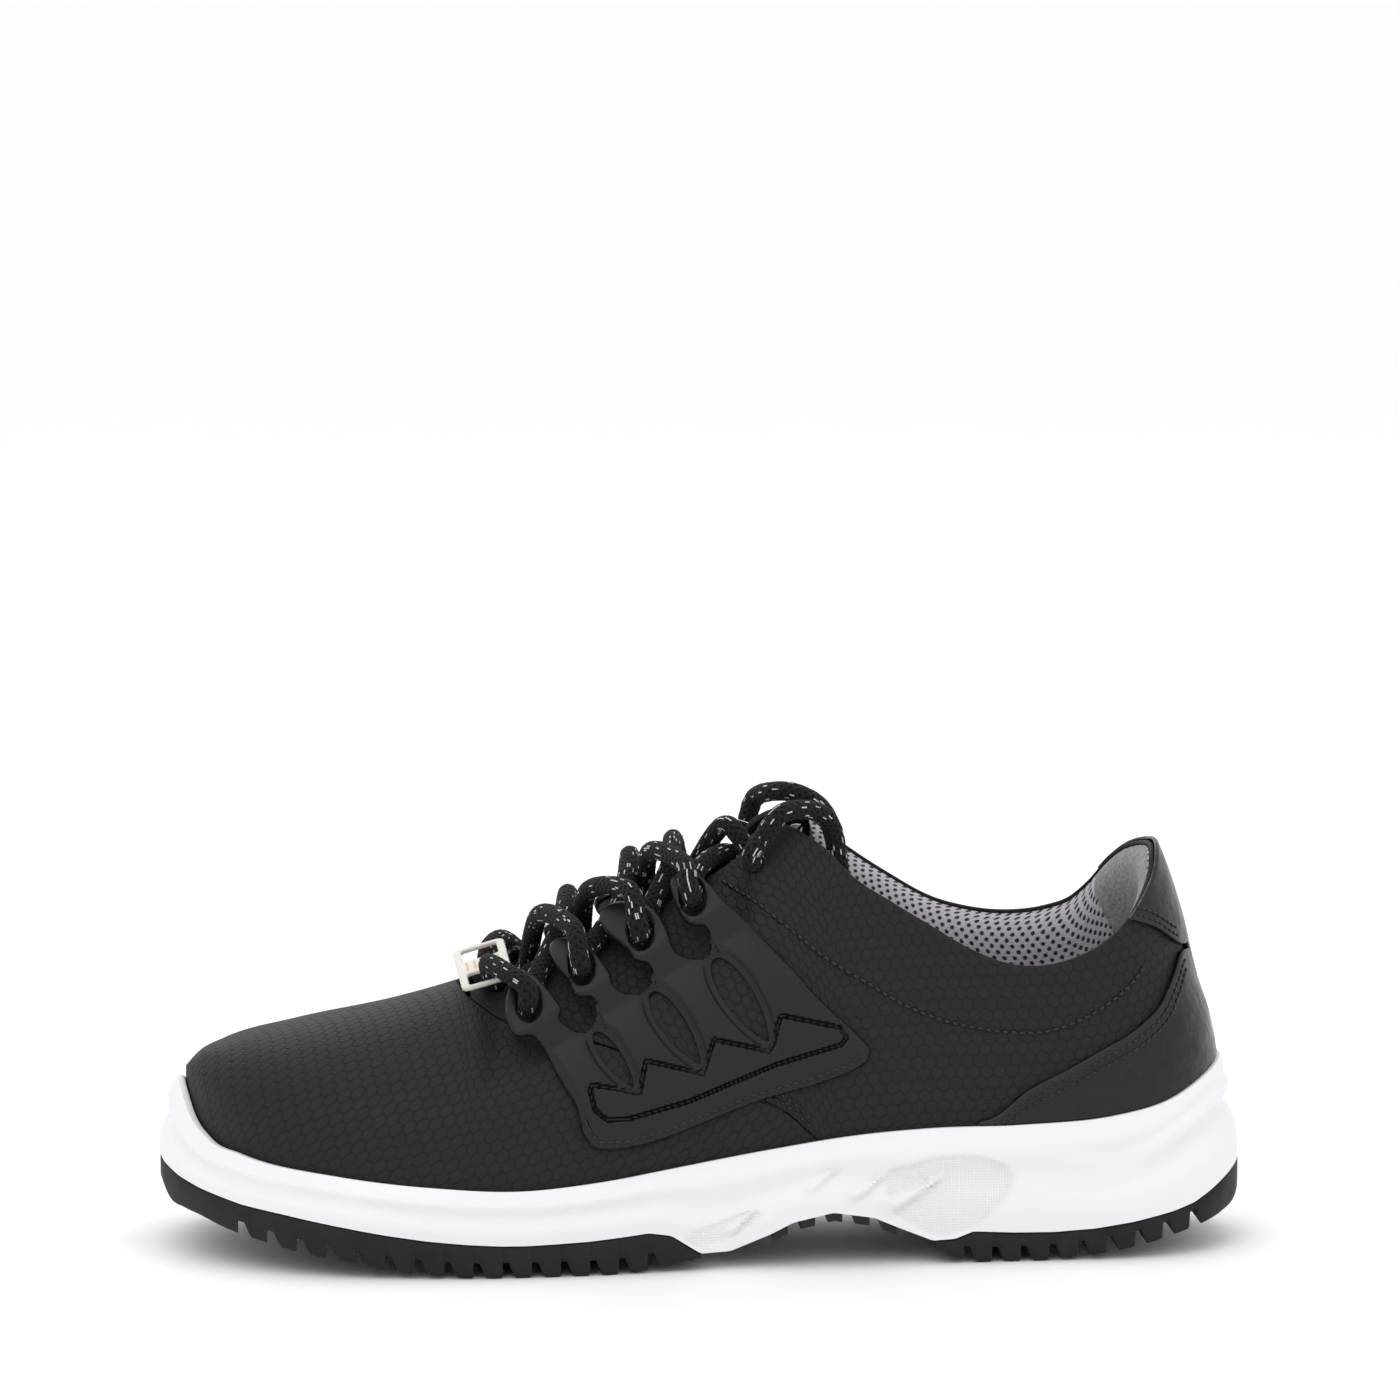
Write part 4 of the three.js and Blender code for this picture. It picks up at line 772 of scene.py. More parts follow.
# The sheet's own coordinates start from the ridge, so that the scales meet along it.
to_ridge = vamp_high[:, None] + (math.pi / 2 - vamp_high)[:, None] * np.linspace(0, 1, 60)
above_edge = last_point(vamp_turns[:, None], to_ridge)
uv[..., 1] -= np.linalg.norm(np.diff(above_edge, axis=1), axis=-1).sum(1)[:, None]
vamp = shell("vamp_pressed", outer, inner, [pressed_upper], joined=over_toe, uv=uv)
place(vamp, "shoe", "upper_leather", "vamp")

eyelet_place, eyelet_radius = (13.0, 106.4), 3.45
for name, side in (("quarter_lateral", -1), ("quarter_medial", 1)):
    quarter_turns = even_turns(float(turn_at(-63.5)), math.pi - 0.004, 1.1) * side
    x = station(quarter_turns)
    high = topline(x, side > 0)
    low = np.where(x < 34, phi_at(x, vamp_seam(x) + 0.25), phi_at(x, feather(x) - 4))
    outer, inner = upper_panel(quarter_turns, np.minimum(low, high - 0.03), high, 84)
    turn, rise = side * float(turn_at(eyelet_place[0])), float(phi_at(*eyelet_place))
    centres = skin(turn, rise, 0.0), skin(turn, rise, -upper_wall)
    cells = outer[:-1, :-1] + outer[1:, 1:]
    keep = np.linalg.norm(cells / 2 - centres[0], axis=-1) > eyelet_radius
    touched = border_of(keep, outside_is_gone=False)
    for grid, centre in ((outer, centres[0]), (inner, centres[1])):
        away = grid[touched] - centre
        grid[touched] = centre + away * (eyelet_radius / np.linalg.norm(away, axis=-1, keepdims=True))
    quarter = shell(name + "_pressed", outer, inner, [pressed_upper], keep=keep, uv=flat_uv(outer, 0))
    place(quarter, "shoe", "upper_leather", name)

# ---- Stiffeners, linings, collar and footwell ----
# A toe puff and a heel counter sit between upper and lining. The lining is a lilac-grey spacer mesh with open
# holes; round the ankle it rolls over a foam pad up to the folded black edge, with a suede patch behind the
# heel.

stiff, tree, shader = finish_named("thermoplastic_stiffener", "#d5ccba", 0.8)
bump(tree, shader, grain(tree, 0.7).outputs["Fac"], 0.05)
for name in ("toe_puff", "heel_counter"):
    refinish(name, stiff)

# Spacer mesh: holes 1.4 mm wide on a staggered 3 mm grid, knitted ribs between them, soft and dull. The holes
# are not cut: they are painted near-black, as painted shade seen through them.
spacer, tree, shader = finish_named("grey_spacer_mesh", "#b4adb6", 0.88, Sheen_Weight=0.2)
away = add(tree, "ShaderNodeVectorMath", {}, {0: lattice(tree, 2.9, 1.15)}, operation="LENGTH")
web = band(tree, away.outputs["Value"], 0.12, 0.26)
ribs = add(tree, "ShaderNodeTexNoise", {"Scale": 2.2, "Detail": 4.0},
           {"Vector": add(tree, "ShaderNodeTexCoord").outputs["UV"]})
bump(tree, shader, web, 0.7, under=bump(tree, shader, ribs.outputs["Fac"], 0.25))
# Painted shade: the holes are coloured near-black, for the shade that shows through them.
vary(tree, shader, "Base Color", web, linear("#1c191e"), linear("#b7b0ba"))

# Suede-like microfibre patch, warm grey, with a short nap.
suede, tree, shader = finish_named("grey_lining_suede", "#827c7e", 0.93, Sheen_Weight=0.2)
nap = grain(tree, 1.1, 6).outputs["Fac"]
bump(tree, shader, nap, 0.35)
vary(tree, shader, "Base Color", nap, linear("#6f6a6b"), linear("#959092"))

lining_out = -3.2
lining_turns = even_turns(-float(turn_at(27)), float(turn_at(27)), 1.8)
x = station(lining_turns)
lining_top = curve([(-74, 69), (-68, 58), (-60, 53), (-47, 57), (-20, 72), (0, 84), (27, 94)])
high = np.where(x <= -76, math.pi / 2, phi_at(x, lining_top(x)))
over_toe = (x[:-1] <= -76) & (x[1:] <= -76)
low = np.minimum(phi_at(x, insole(x) + 2.2), high - 0.03)
outer, inner = upper_panel(
    lining_turns, low, high, 40, out=upper_at(lining_out), wall=1.0, roll=0.3, joined=over_toe)
lining = shell("vamp_lining_mesh", outer, inner, [spacer], joined=over_toe, uv=flat_uv(outer))
place(lining, "shoe", "lining_mesh", "vamp_lining")


def round_heel(start, spacing):
    """Turns round the heel, from a station on the inner side to the same one on the outer side."""
    one_side = even_turns(float(turn_at(start)), math.pi - 1e-4, spacing)
    return np.concatenate([one_side, 2 * math.pi - one_side[::-1]])


collar_turns = round_heel(30, 1.3)
x = station(collar_turns)
top = np.where(collar_turns > math.pi, outer_top(x), inner_top(x))
depth_in = curve([
    (0.9, -2.1), (2, -4.2), (4, -6), (8, -7.4), (14, -7.8), (20, -7.5), (25, -6.2), (31, -4.5), (34, -4.2),
    (60, -4.2)])
depth_out = curve([(0.9, -1.7), (2, -2.6), (4, -3.2), (60, -3.2)])
floor_z = insole(x) + 2.4
shares = np.concatenate([[0, 0.006, 0.02, 0.045], np.linspace(0.08, 1, 56)])
depth = 0.9 + shares[None] * (top - 0.9 - floor_z)[:, None]
phi = phi_at(x[:, None], top[:, None] - depth)
theta = collar_turns[:, None] * np.ones_like(phi)
outer, inner = skin(theta, phi, depth_out(depth)), skin(theta, phi, depth_in(depth))
patch = (x[:-1, None] > 122 + 0.3 * depth[:-1, :-1]) & (depth[:-1, :-1] < 60)
collar = shell("collar_padded_lining", outer, inner, [spacer, suede], uv=flat_uv(inner, 0),
               which=patch.astype(int))
place(collar, "shoe", "lining_mesh", "quarter_lining", "collar_foam")

# ---- Tongue ----
# A padded tongue stitched in under the vamp: black textile under the laces and grey mesh at its open top.

tongue_width = curve([(-73, 22), (-60, 26), (-20, 27), (10, 25), (22, 20)])
tongue_out = -5.6
tongue_foot, tongue_top = -72.8, 21.5
tongue_turns = turn_at(np.linspace(tongue_foot, tongue_top, 96))
x = station(tongue_turns)
edge = phi_reach(x, tongue_width(x))
shares = edge_steps(60)
phi = edge[:, None] + (math.pi - 2 * edge)[:, None] * shares
theta = tongue_turns[:, None] * np.ones_like(phi)
lie = last_point(theta, phi)
middle = np.maximum(0, 1 - ((lie[..., 1] - centre_line(lie[..., 0])) / 10) ** 2)
swell = 5.3 * middle * smooth((lie[..., 0] + 60) / 12) * smooth((2 - lie[..., 0]) / 10)
top_level = tongue_out + swell - 3.3 * smooth((lie[..., 0] + 8) / 8) - pressed_in(lie)
round_end = rolled(np.minimum(x - tongue_foot, tongue_top - x), 1.3, reach=2.5)[:, None]
back = np.maximum(roll_edges(shares[None], 50.0, 1.5), round_end)
outer = skin(theta, phi, top_level - back)
inner = skin(theta, phi, top_level - 3.5 + back)
# Black knitted textile on foam: 0.9 mm thread rows, matt.
tongue_knit, tree, shader = finish_named("black_padded_textile", "#141416", 0.9, Specular_IOR_Level=0.2)
away = add(tree, "ShaderNodeVectorMath", {}, {0: lattice(tree, 1.3, 1.2)}, operation="LENGTH")
bump(tree, shader, band(tree, away.outputs["Value"], 0.1, 0.4), 0.25)
grey_top = (x[:-1, None] > 3) & np.ones((1, outer.shape[1] - 1), bool)
tongue = shell("tongue_padded", outer, inner, [tongue_knit, spacer], uv=flat_uv(outer),
               which=grey_top.astype(int), smooth_angle=60)
place(tongue, "shoe", "tongue_textile", "tongue")

# ---- Heel foxing and heel tab ----
# Smooth black leather laid over the quarters: the foxing wraps the heel above the midsole, and the tab covers
# the top of the heel with a strap down the middle. Each front edge is folded or cut and double-stitched.

# Full-grain leather, black, semi-gloss: a thin pigment coat over fine pores and soft creases, and a lighter
# bluish black within about 2 mm of its folded edge.
smooth_leather, tree, shader = finish_named("smooth_black_leather", "#070708", 0.26, Specular_IOR_Level=0.36)
pores = grain(tree, 0.9, 5)
creases = grain(tree, 6, 2)
bump(tree, shader, pores.outputs["Fac"], 0.07, under=bump(tree, shader, creases.outputs["Fac"], 0.5))
vary(tree, shader, "Roughness", creases.outputs["Fac"], 0.2, 0.36)
from_edge = band(tree, add(tree, "ShaderNodeAttribute", attribute_name="from_edge").outputs["Fac"], 1.9, 2.3)
# Lighter bluish black within about 2 mm of the folded edge, plain black elsewhere.
vary(tree, shader, "Base Color", from_edge, linear("#12151b"), linear("#070708"))

foxing_edge = curve([
    (72, 37.6), (76, 38.6), (86, 46), (96, 51), (107, 56.6), (118, 62), (127.5, 68.5), (133.6, 75.5),
    (137.3, 80.2), (139, 80.2)])
tab_edge = curve([(123, 91), (131, 87.6), (138, 81.8), (140.5, 81.2)])


def overlay(name, start, low, high, count, node, folded):
    """A leather overlay round the heel from a station on one side to the same one on the other. folded is the
    row of its folded edge."""
    around = round_heel(start, 0.9)
    x = station(around)
    inner_side = around < math.pi
    low_phi, high_phi = phi_at(x, low(x)), phi_at(x, high(x, inner_side))
    outer, inner = upper_panel(around, np.minimum(low_phi, high_phi - 0.004), high_phi, count,
                               out=fit + overlay_wall, wall=overlay_wall, roll=0.6)
    depth = np.linalg.norm(outer - outer[:, folded][:, None], axis=-1)
    piece = shell(name, outer, inner, [smooth_leather], uv=flat_uv(outer, 0), values={"from_edge": depth})
    return place(piece, "shoe", "overlay_leather", node)


strap = lambda x: smooth((x - 139.4) / 0.5)  # 1 where the tab runs down the back
collar_at = lambda x, inner_side: np.where(inner_side, inner_top(x), outer_top(x))
overlay("heel_foxing_leather", 73, lambda x: feather(x) + 0.3,
        lambda x, inner_side: foxing_edge(x) * (1 - strap(x)) + 71 * strap(x), 40, "heel_foxing", -1)
overlay("heel_tab_leather", 123.5, lambda x: tab_edge(x) * (1 - strap(x)) + 71.4 * strap(x),
        lambda x, inner_side: collar_at(x, inner_side) + 0.4, 34, "heel_tab", 0)

# ---- Seams ----
# Black polyester thread in lock stitches about 2.2 mm long, sunk at their ends: a single row round the
# collar, two rows along the foxing, the tab and the vamp seam, and one above each cage's lower edge.

# Bonded polyester thread, black with a soft shine, its twist about 0.3 mm.
thread, tree, shader = finish_named("black_polyester_thread", "#060607", 0.4, Specular_IOR_Level=0.5)
bump(tree, shader, grain(tree, 0.3).outputs["Fac"], 0.05)


def stitches(name, line, normals, pitch, length, radius, slot):
    """Many small spindles along a line of points: the radius of each follows sin(pi s)^0.6 along its length,
    flattened towards the surface, and its ends dip in."""
    run = run_along(line)
    spots = np.arange(pitch / 2, run[-1], pitch)
    take = lambda values, at: np.stack([np.interp(at, run, values[:, k]) for k in range(3)], -1)
    centre, normal = take(line, spots), take(normals, spots)
    along = take(line, np.minimum(spots + 0.4, run[-1])) - take(line, np.maximum(spots - 0.4, 0))
    along /= np.linalg.norm(along, axis=1, keepdims=True)
    normal /= np.linalg.norm(normal, axis=1, keepdims=True)
    across = np.cross(along, normal)
    s, turn = np.meshgrid(np.linspace(0, 1, 7), np.arange(6) / 6 * 2 * math.pi, indexing="ij")
    lift = radius * np.sin(math.pi * s) ** 0.6
    place_along = -length / 2 * np.cos(math.pi * s)
    rise = lift * np.cos(turn) * 0.75 + radius * (0.7 * np.sin(math.pi * s) - 0.3)
    sideways = lift * np.sin(turn)
    points = (centre[:, None, None] + along[:, None, None] * place_along[..., None]
              + normal[:, None, None] * rise[..., None] + across[:, None, None] * sideways[..., None])
    ids = np.arange(points[..., 0].size).reshape(points.shape[:3])
    after = np.roll(ids, -1, axis=2)
    faces = np.stack([ids[:, :-1], ids[:, 1:], after[:, 1:], after[:, :-1]], -1).reshape(-1, 4)
    piece = mesh(name, points.reshape(-1, 3), faces, [thread], smooth_angle=0)
    return place(piece, "shoe", slot)


def seam_on_last(side, x, z, out):
    """A line on the upper through stations and heights, with its normals."""
    theta, phi = side * turn_at(x), phi_at(x, z)
    return skin(theta, phi, out), last_normal(theta, phi)


collar_row = curve([
    (3.5, 102.7), (13, 96.6), (22.6, 89.2), (32.4, 81.4), (42.2, 75.6), (52.1, 69.7), (62.1, 65.6),
    (72.1, 63.1), (82.1, 61.6), (92.1, 61.7), (102.2, 64.5), (112.6, 69.2), (120.2, 73.8), (127, 79.5)])
for side, label in ((-1, "lateral"), (1, "medial")):
    x = np.linspace(4, 125, 300)
    stitches("collar_stitches_" + label, *seam_on_last(side, x, collar_row(x), upper_at(0.16)), 2.3, 2.0,
             0.52, "upper_leather")
    x = np.linspace(77, 137, 160)
    for row, inset in enumerate((2.4, 4.6)):
        line = seam_on_last(side, x, foxing_edge(x) - inset, 1.66)
        stitches(f"foxing_stitches_{row}_{label}", *line, 2.2, 1.8, 0.36, "overlay_leather")
    x = np.linspace(125.5, 137, 60)
    for row, inset in enumerate((1.8, 4.0)):
        stitches(f"tab_stitches_{row}_{label}", *seam_on_last(side, x, tab_edge(x) + inset, 1.66), 2.1, 1.7,
                 0.36, "overlay_leather")
    x = np.linspace(14.5, 27, 60)
    for row, inset in enumerate((2.0, 4.2)):
        stitches(f"vamp_stitches_{row}_{label}", *seam_on_last(side, x, vamp_seam(x) + inset, 0.1), 2.3, 1.6,
                 0.4, "upper_leather")

# ---- Lace cages ----
# One matt black plastic cage on each side: a plate that lies on the quarter, with leaf-shaped cut-outs and a
# grooved zigzag, and four fingers that stand off the upper, each with an oval hole for the lace.

cage_outline = [
    (-51.3, 78.5), (-54.9, 70.4), (-52.6, 63.9), (-46.7, 62.8), (-41, 53), (-36.3, 45.3), (-34.8, 38.8),
    (-33, 35.7), (-30.3, 33.5), (-23.3, 33.3), (-11.7, 35.7), (12, 44.3), (29.6, 49), (40.2, 53.1),
    (43.2, 56.5), (41.6, 60.5), (29.9, 71.5), (20.7, 81.7), (4.5, 97.5), (-1.5, 103.5), (-5.5, 104.2),
    (-9.5, 102), (-8, 95), (-5, 91.5), (-1, 91), (0.5, 88), (0, 83.5), (-3.5, 82.2), (-8, 83.5), (-10, 86.5),
    (-11, 90.5), (-14, 94.5), (-17.5, 96.3), (-24, 96), (-28.5, 93.2), (-27.5, 89), (-22, 85), (-20, 82.5),
    (-16, 81), (-15.5, 76.5), (-18.5, 73.5), (-22.5, 73.5), (-26, 76), (-26.5, 79), (-31, 84.5), (-34, 86.6),
    (-39.5, 86.7), (-42.5, 84.3), (-40.5, 80), (-38, 77), (-36, 73.5), (-31.5, 73), (-30.5, 70.5),
    (-31, 66.5), (-33.5, 64), (-37, 64.5), (-40.5, 67.5), (-40, 70.5), (-43.5, 75), (-47, 77.8)]
leaves = [((-31, 64), (-20.5, 49.5), 6.5), ((-15.5, 74), (-2.5, 55), 8.5), ((1.5, 82.5), (16, 60.5), 10)]
finger_holes = [(-48.5, 71.2), (-34, 80.3), (-18, 89.2), (-3.8, 98.2)]
zigzag = [
    (-31.9, 50.3), (-19.1, 48), (-17.3, 56.2), (-2, 52.5), (1.2, 61.3), (16.2, 58), (19.3, 67.4), (35.2, 64),
    (37, 61.1), (35.1, 59.3), (18, 54.5), (-5.6, 45.3), (-21.6, 41.3), (-27.8, 41), (-31.2, 43.7),
    (-32.5, 48.8)]
cage_wall = 2.4
finger_lift = 3.2


def leaf_outline(head, tip, width):
    """A leaf from a round head to a sharp tip: half width (width / 2) 1.9 sqrt(t) (1 - t)^0.75 at share t."""
    head, tip = np.array(head, float), np.array(tip, float)
    t = (1 - np.cos(np.linspace(0, math.pi, 15))) / 2
    swell = width / 2 * 1.9 * np.sqrt(t) * (1 - t) ** 0.75
    along = (tip - head) / np.linalg.norm(tip - head)
    across = np.array([-along[1], along[0]])
    there = head + (tip - head) * t[:, None] + across * swell[:, None]
    back = head + (tip - head) * t[:, None] - across * swell[:, None]
    return np.concatenate([there, back[-2:0:-1]])


def seen_to_last(side, seen, out, rounds=9):
    """Turn and rise whose pushed-out point stands at the wanted station and height: start on the last there,
    and move the aim by 0.8 of what is still missing."""
    aim = seen.copy()
    for _ in range(rounds):
        theta = side * turn_at(aim[..., 0])
        phi = phi_at(aim[..., 0], aim[..., 1])
        got = skin(theta, phi, out)
        aim = aim + 0.8 * (seen - got[..., [0, 2]])
    return theta, phi


finger_hole = (3.2, 4.45)  # half width and half height
turn = np.arange(32) / 32 * 2 * math.pi
oval = np.stack([np.cos(turn), np.sin(turn)], -1) * finger_hole
leaf_lines = [leaf_outline(*leaf) for leaf in leaves]
step = 0.45
seen = np.stack(np.meshgrid(np.arange(-57, 45.5, step), np.arange(31.5, 106.5, step), indexing="ij"), -1)
seen, distance, inside = cut_sheet(seen, rounded(cage_outline),
                                   [*(oval + hole for hole in finger_holes), *leaf_lines])

groove = smooth(1 - (np.abs(outline_distance(seen, zigzag)[1]) - 0.25) / 0.55)
near_leaf = np.min([np.abs(outline_distance(seen, line)[1]) for line in leaf_lines], axis=0)
dish = smooth(1 - near_leaf / 3.2)
low_edge = smooth(1 + (distance + 1.2) / 1.2) * smooth((eyelet_row(seen[..., 0]) - 8 - seen[..., 1]) / 8)
fine_lines = [
    [(-30, 70), (-27.5, 62.5), (-19.5, 50)], [(-15.5, 80), (-12, 70), (-1.5, 55.5)],
    [(0.8, 87.5), (6, 78), (17, 61)]]
near_line = np.min([np.abs(outline_distance(seen, line, closed=False)[1]) for line in fine_lines], axis=0)
thin = smooth(1 - (near_line - 0.1) / 0.5)
roll = rolled(-distance, 0.85, reach=1.0)
sink = 1.1 * groove + 0.6 * dish + 0.5 * thin + 0.9 * low_edge

# Glass-filled nylon, black: matt eroded mould texture, slightly shinier along the polished rims. The zigzag
# groove and the fine lines are painted near-black, as painted shade in them.
cage_nylon, tree, shader = finish_named("matt_black_nylon", "#121011", 0.4, Specular_IOR_Level=0.32)
bump(tree, shader, grain(tree, 0.35, 4).outputs["Fac"], 0.045)
worn = grain(tree, 14, 2)
vary(tree, shader, "Roughness", worn.outputs["Fac"], 0.34, 0.46)
# Painted shade: the zigzag groove and the fine lines are coloured near-black.
vary(tree, shader, "Base Color", add(tree, "ShaderNodeAttribute", attribute_name="groove_painted_shade").outputs["Fac"],
     linear("#121011"), linear("#030303"))


def lift(point):
    """How far the cage's inner face stands off the upper: a clearance, and more towards the finger tips."""
    return fit + finger_lift * smooth((point[..., 2] - eyelet_row(point[..., 0]) + 13) / 9)


stitch_row = np.array([
    (-34.2, 41.5), (-32.2, 37.3), (-29.8, 35.3), (-23.2, 35.2), (-12.2, 37.7), (11.4, 46.3), (29, 51),
    (38.5, 54.4)])
run = run_along(stitch_row)
even = np.linspace(0, run[-1], 200)
stitch_line = np.stack([np.interp(even, run, stitch_row[:, k]) for k in (0, 1)], -1)
for side, label in ((-1, "lateral"), (1, "medial")):
    theta, phi = seen_to_last(side, seen, lambda point: lift(point) + cage_wall)
    lie = last_point(theta, phi)
    outer = skin(theta, phi, lift(lie) + cage_wall - np.minimum(roll + sink, cage_wall - 0.7))
    inner = skin(theta, phi, lift(lie) + roll * 0.6)
    # The painted shade of the groove and the fine lines goes on as a value at each point.
    cage = shell(f"lace_cage_{label}_moulded", outer, inner, [cage_nylon], keep=inside, smooth_angle=38,
                 values={"groove_painted_shade": np.maximum(groove, 0.6 * thin)})
    place(cage, "shoe", "cage_plastic", f"lace_cage_{label}")
    theta, phi = seen_to_last(side, stitch_line, lambda point: lift(point) + cage_wall - 0.12)
    stitches(f"cage_stitches_{label}", skin(theta, phi, fit + cage_wall - 0.14), last_normal(theta, phi),
             2.3, 2.0, 0.34, "cage_plastic")

# ---- Laces ----
# One round polyester lace, 5.5 mm, braided black with pale grey flecks. It crosses through the cage fingers
# from the vamp up to the eyelets; both ends go in at the eyelets and lie loose along the insole, with crimped
# plastic tips.

lace_route = [
    (15, -20.3, 112.3), (13.2, -20.6, 110), (12.6, -18.8, 107.2), (14.5, -14.4, 103.9), (13.8, -9.6, 105.9),
    (6.8, -3, 114.5), (-0.6, 6.8, 102.4), (-3.1, 10.8, 96.8), (-3.8, 16, 97.7), (-4.8, 17.2, 102.2),
    (-6.6, 12.1, 108.7), (-8.6, -4.9, 103.6), (-15.2, -16.1, 92.7), (-17.7, -20.7, 87.4), (-18, -26.1, 88.9),
    (-19, -27, 92.8), (-21.1, -22.3, 99.8), (-30.7, -5.7, 97.2), (-31.9, 12.2, 82.7), (-33.7, 17.8, 78.7),
    (-34, 22.5, 79.8), (-34.6, 23.3, 84.3), (-35.3, 16.7, 93.2), (-38.7, -3.9, 86.5), (-46.6, -21.9, 74.4),
    (-48.4, -27.5, 69.1), (-48.6, -32.9, 71), (-49, -33.1, 75.4), (-53.6, -28.3, 78.1), (-58.3, -18.8, 79.5),
    (-58, -14.1, 76.4), (-56.9, -8.4, 71.2), (-59.8, 1, 73.4), (-58.4, 6.3, 75.3), (-57, 14, 78.8),
    (-53.3, 22.7, 79.8), (-48.7, 29.2, 75.5), (-48.5, 28.6, 70.7), (-48.4, 23.5, 69.5), (-46.5, 18.2, 73.7),
    (-43.9, -2.9, 90.2), (-36.3, -23.7, 90.1), (-34.8, -28.9, 84), (-34.1, -28.5, 80), (-33.7, -23.2, 78.1),
    (-31.2, -18.3, 83.2), (-21.9, -5.6, 94.5), (-18.4, 13.5, 104.1), (-18.5, 19.9, 93.2), (-18.1, 19.1, 88.8),
    (-17.7, 13.8, 87.6), (-14.8, 9.3, 92.3), (-13.9, -4.1, 107.3), (-6.2, -20.6, 106.8), (-5, -25.3, 102),
    (-3.9, -24.1, 97.9), (-3.5, -18.7, 96.7), (-1.6, -12.8, 103.5), (5.7, -4.2, 106.9), (12.8, 1.5, 104.5),
    (14.3, 6.2, 104), (12.7, 10.3, 107.2), (12.6, 12.2, 110), (13.6, 12.4, 112.8)]
lateral_end = [
    (15.2, -20.3, 112.6), (20.7, -19.4, 119.6), (29, -15, 119.9), (34.6, -12, 115.8), (37, -10.8, 105),
    (37.5, -10.5, 92), (37.5, -10.5, 79), (37, -10.5, 66), (35, -10.7, 54), (30, -11.2, 43.5),
    (21, -12, 36.5), (9, -12.8, 31.6), (-4, -13.4, 28.2), (-17, -13.8, 25.8), (-30, -13.8, 24.2),
    (-43, -13.2, 23.4), (-56, -12.2, 23.1), (-68, -11, 23.4)]
medial_end = [
    (13.7, 12.4, 113.2), (16, 12.9, 119.7), (20.5, 4.6, 122.6), (27, 1, 122.3), (33.5, -0.3, 118),
    (37, -0.5, 109), (38, -0.2, 97), (38, 0, 84), (37.5, 0.2, 71), (36, 0.6, 58.5), (31.5, 1.2, 47),
    (23, 2, 38.8), (11.5, 3, 33), (-1.5, 4, 29), (-14.5, 5, 26.4), (-27.5, 6, 24.6), (-40.5, 7, 23.6),
    (-53.5, 8, 23.2), (-65, 9, 23.3)]
lace_radius = 2.75

# Braided polyester: black yarns with pale flecks where a light yarn comes up, soft and slightly fuzzy. The
# hollows between the raised yarns are painted darker, as painted shade.
braid, tree, shader = finish_named("flecked_black_braid", "#121213", 0.85, Sheen_Weight=0.05,
                                   Specular_IOR_Level=0.2)
where = add(tree, "ShaderNodeTexCoord")
cells = add(tree, "ShaderNodeVectorMath", {1: (1 / 0.62, 1 / 1.5, 0)}, {0: where.outputs["UV"]},
            operation="MULTIPLY")
picks = add(tree, "ShaderNodeVectorMath", {}, {0: cells.outputs[0]}, operation="FLOOR")
chance = add(tree, "ShaderNodeTexWhiteNoise", {}, {"Vector": picks.outputs[0]}, noise_dimensions="2D")
inside_cell = add(tree, "ShaderNodeVectorMath", {}, {0: cells.outputs[0]}, operation="FRACTION")
cell_x = add(tree, "ShaderNodeSeparateXYZ", {}, {0: inside_cell.outputs[0]})
strand = add(tree, "ShaderNodeMath", {1: 0.5, 2: 0.3}, {0: cell_x.outputs["X"]}, operation="COMPARE")
picked = band(tree, chance.outputs["Value"], 0.925, 0.93)
fleck = add(tree, "ShaderNodeMath", {}, {0: picked, 1: strand.outputs[0]}, operation="MULTIPLY").outputs[0]
flat = add(tree, "ShaderNodeSeparateXYZ", {}, {0: where.outputs["UV"]})
around = add(tree, "ShaderNodeMath", {1: 7 / lace_radius}, {0: flat.outputs["X"]}, operation="MULTIPLY")
onward = [add(tree, "ShaderNodeMath", {1: sign * 3.3}, {0: flat.outputs["Y"], 2: around.outputs[0]},
              operation="MULTIPLY_ADD")
          for sign in (-1, 1)]
yarns = [add(tree, "ShaderNodeMath", {}, {0: way.outputs[0]}, operation="SINE") for way in onward]
woven = add(tree, "ShaderNodeMath", {}, {0: yarns[0].outputs[0], 1: yarns[1].outputs[0]}, operation="MAXIMUM")
raised = band(tree, woven.outputs[0], -0.4, 0.9)
bump(tree, shader, raised, 0.45, under=bump(tree, shader, grain(tree, 0.35, 4).outputs["Fac"], 0.08))
# Painted shade: the hollows between the raised yarns are coloured darker than the yarn tops.
yarn_valley_shade = add(tree, "ShaderNodeMix", {6: linear("#040404"), 7: linear("#171718")}, {0: raised}, data_type="RGBA")
light = add(tree, "ShaderNodeMix", {7: linear("#c9c8cb")}, {0: fleck, 6: yarn_valley_shade.outputs[2]}, data_type="RGBA")
tree.links.new(light.outputs[2], shader.inputs["Base Color"])


def through(points):
    """A uniform Catmull-Rom curve through points, stepped about every 0.6 mm."""
    p = np.array(points, float)
    p = np.concatenate([[2 * p[0] - p[1]], p, [2 * p[-1] - p[-2]]])
    line = []
    for a, b, c, d in zip(p[:-3], p[1:-2], p[2:-1], p[3:]):
        s = np.linspace(0, 1, max(4, int(np.linalg.norm(c - b) / 0.6)), endpoint=False)[:, None]
        line.append(0.5 * (2 * b + (c - a) * s + (2 * a - 5 * b + 4 * c - d) * s**2 + (3 * b - a - 3 * c + d)
                           * s**3))
    return np.concatenate([*line, p[-2:-1]])


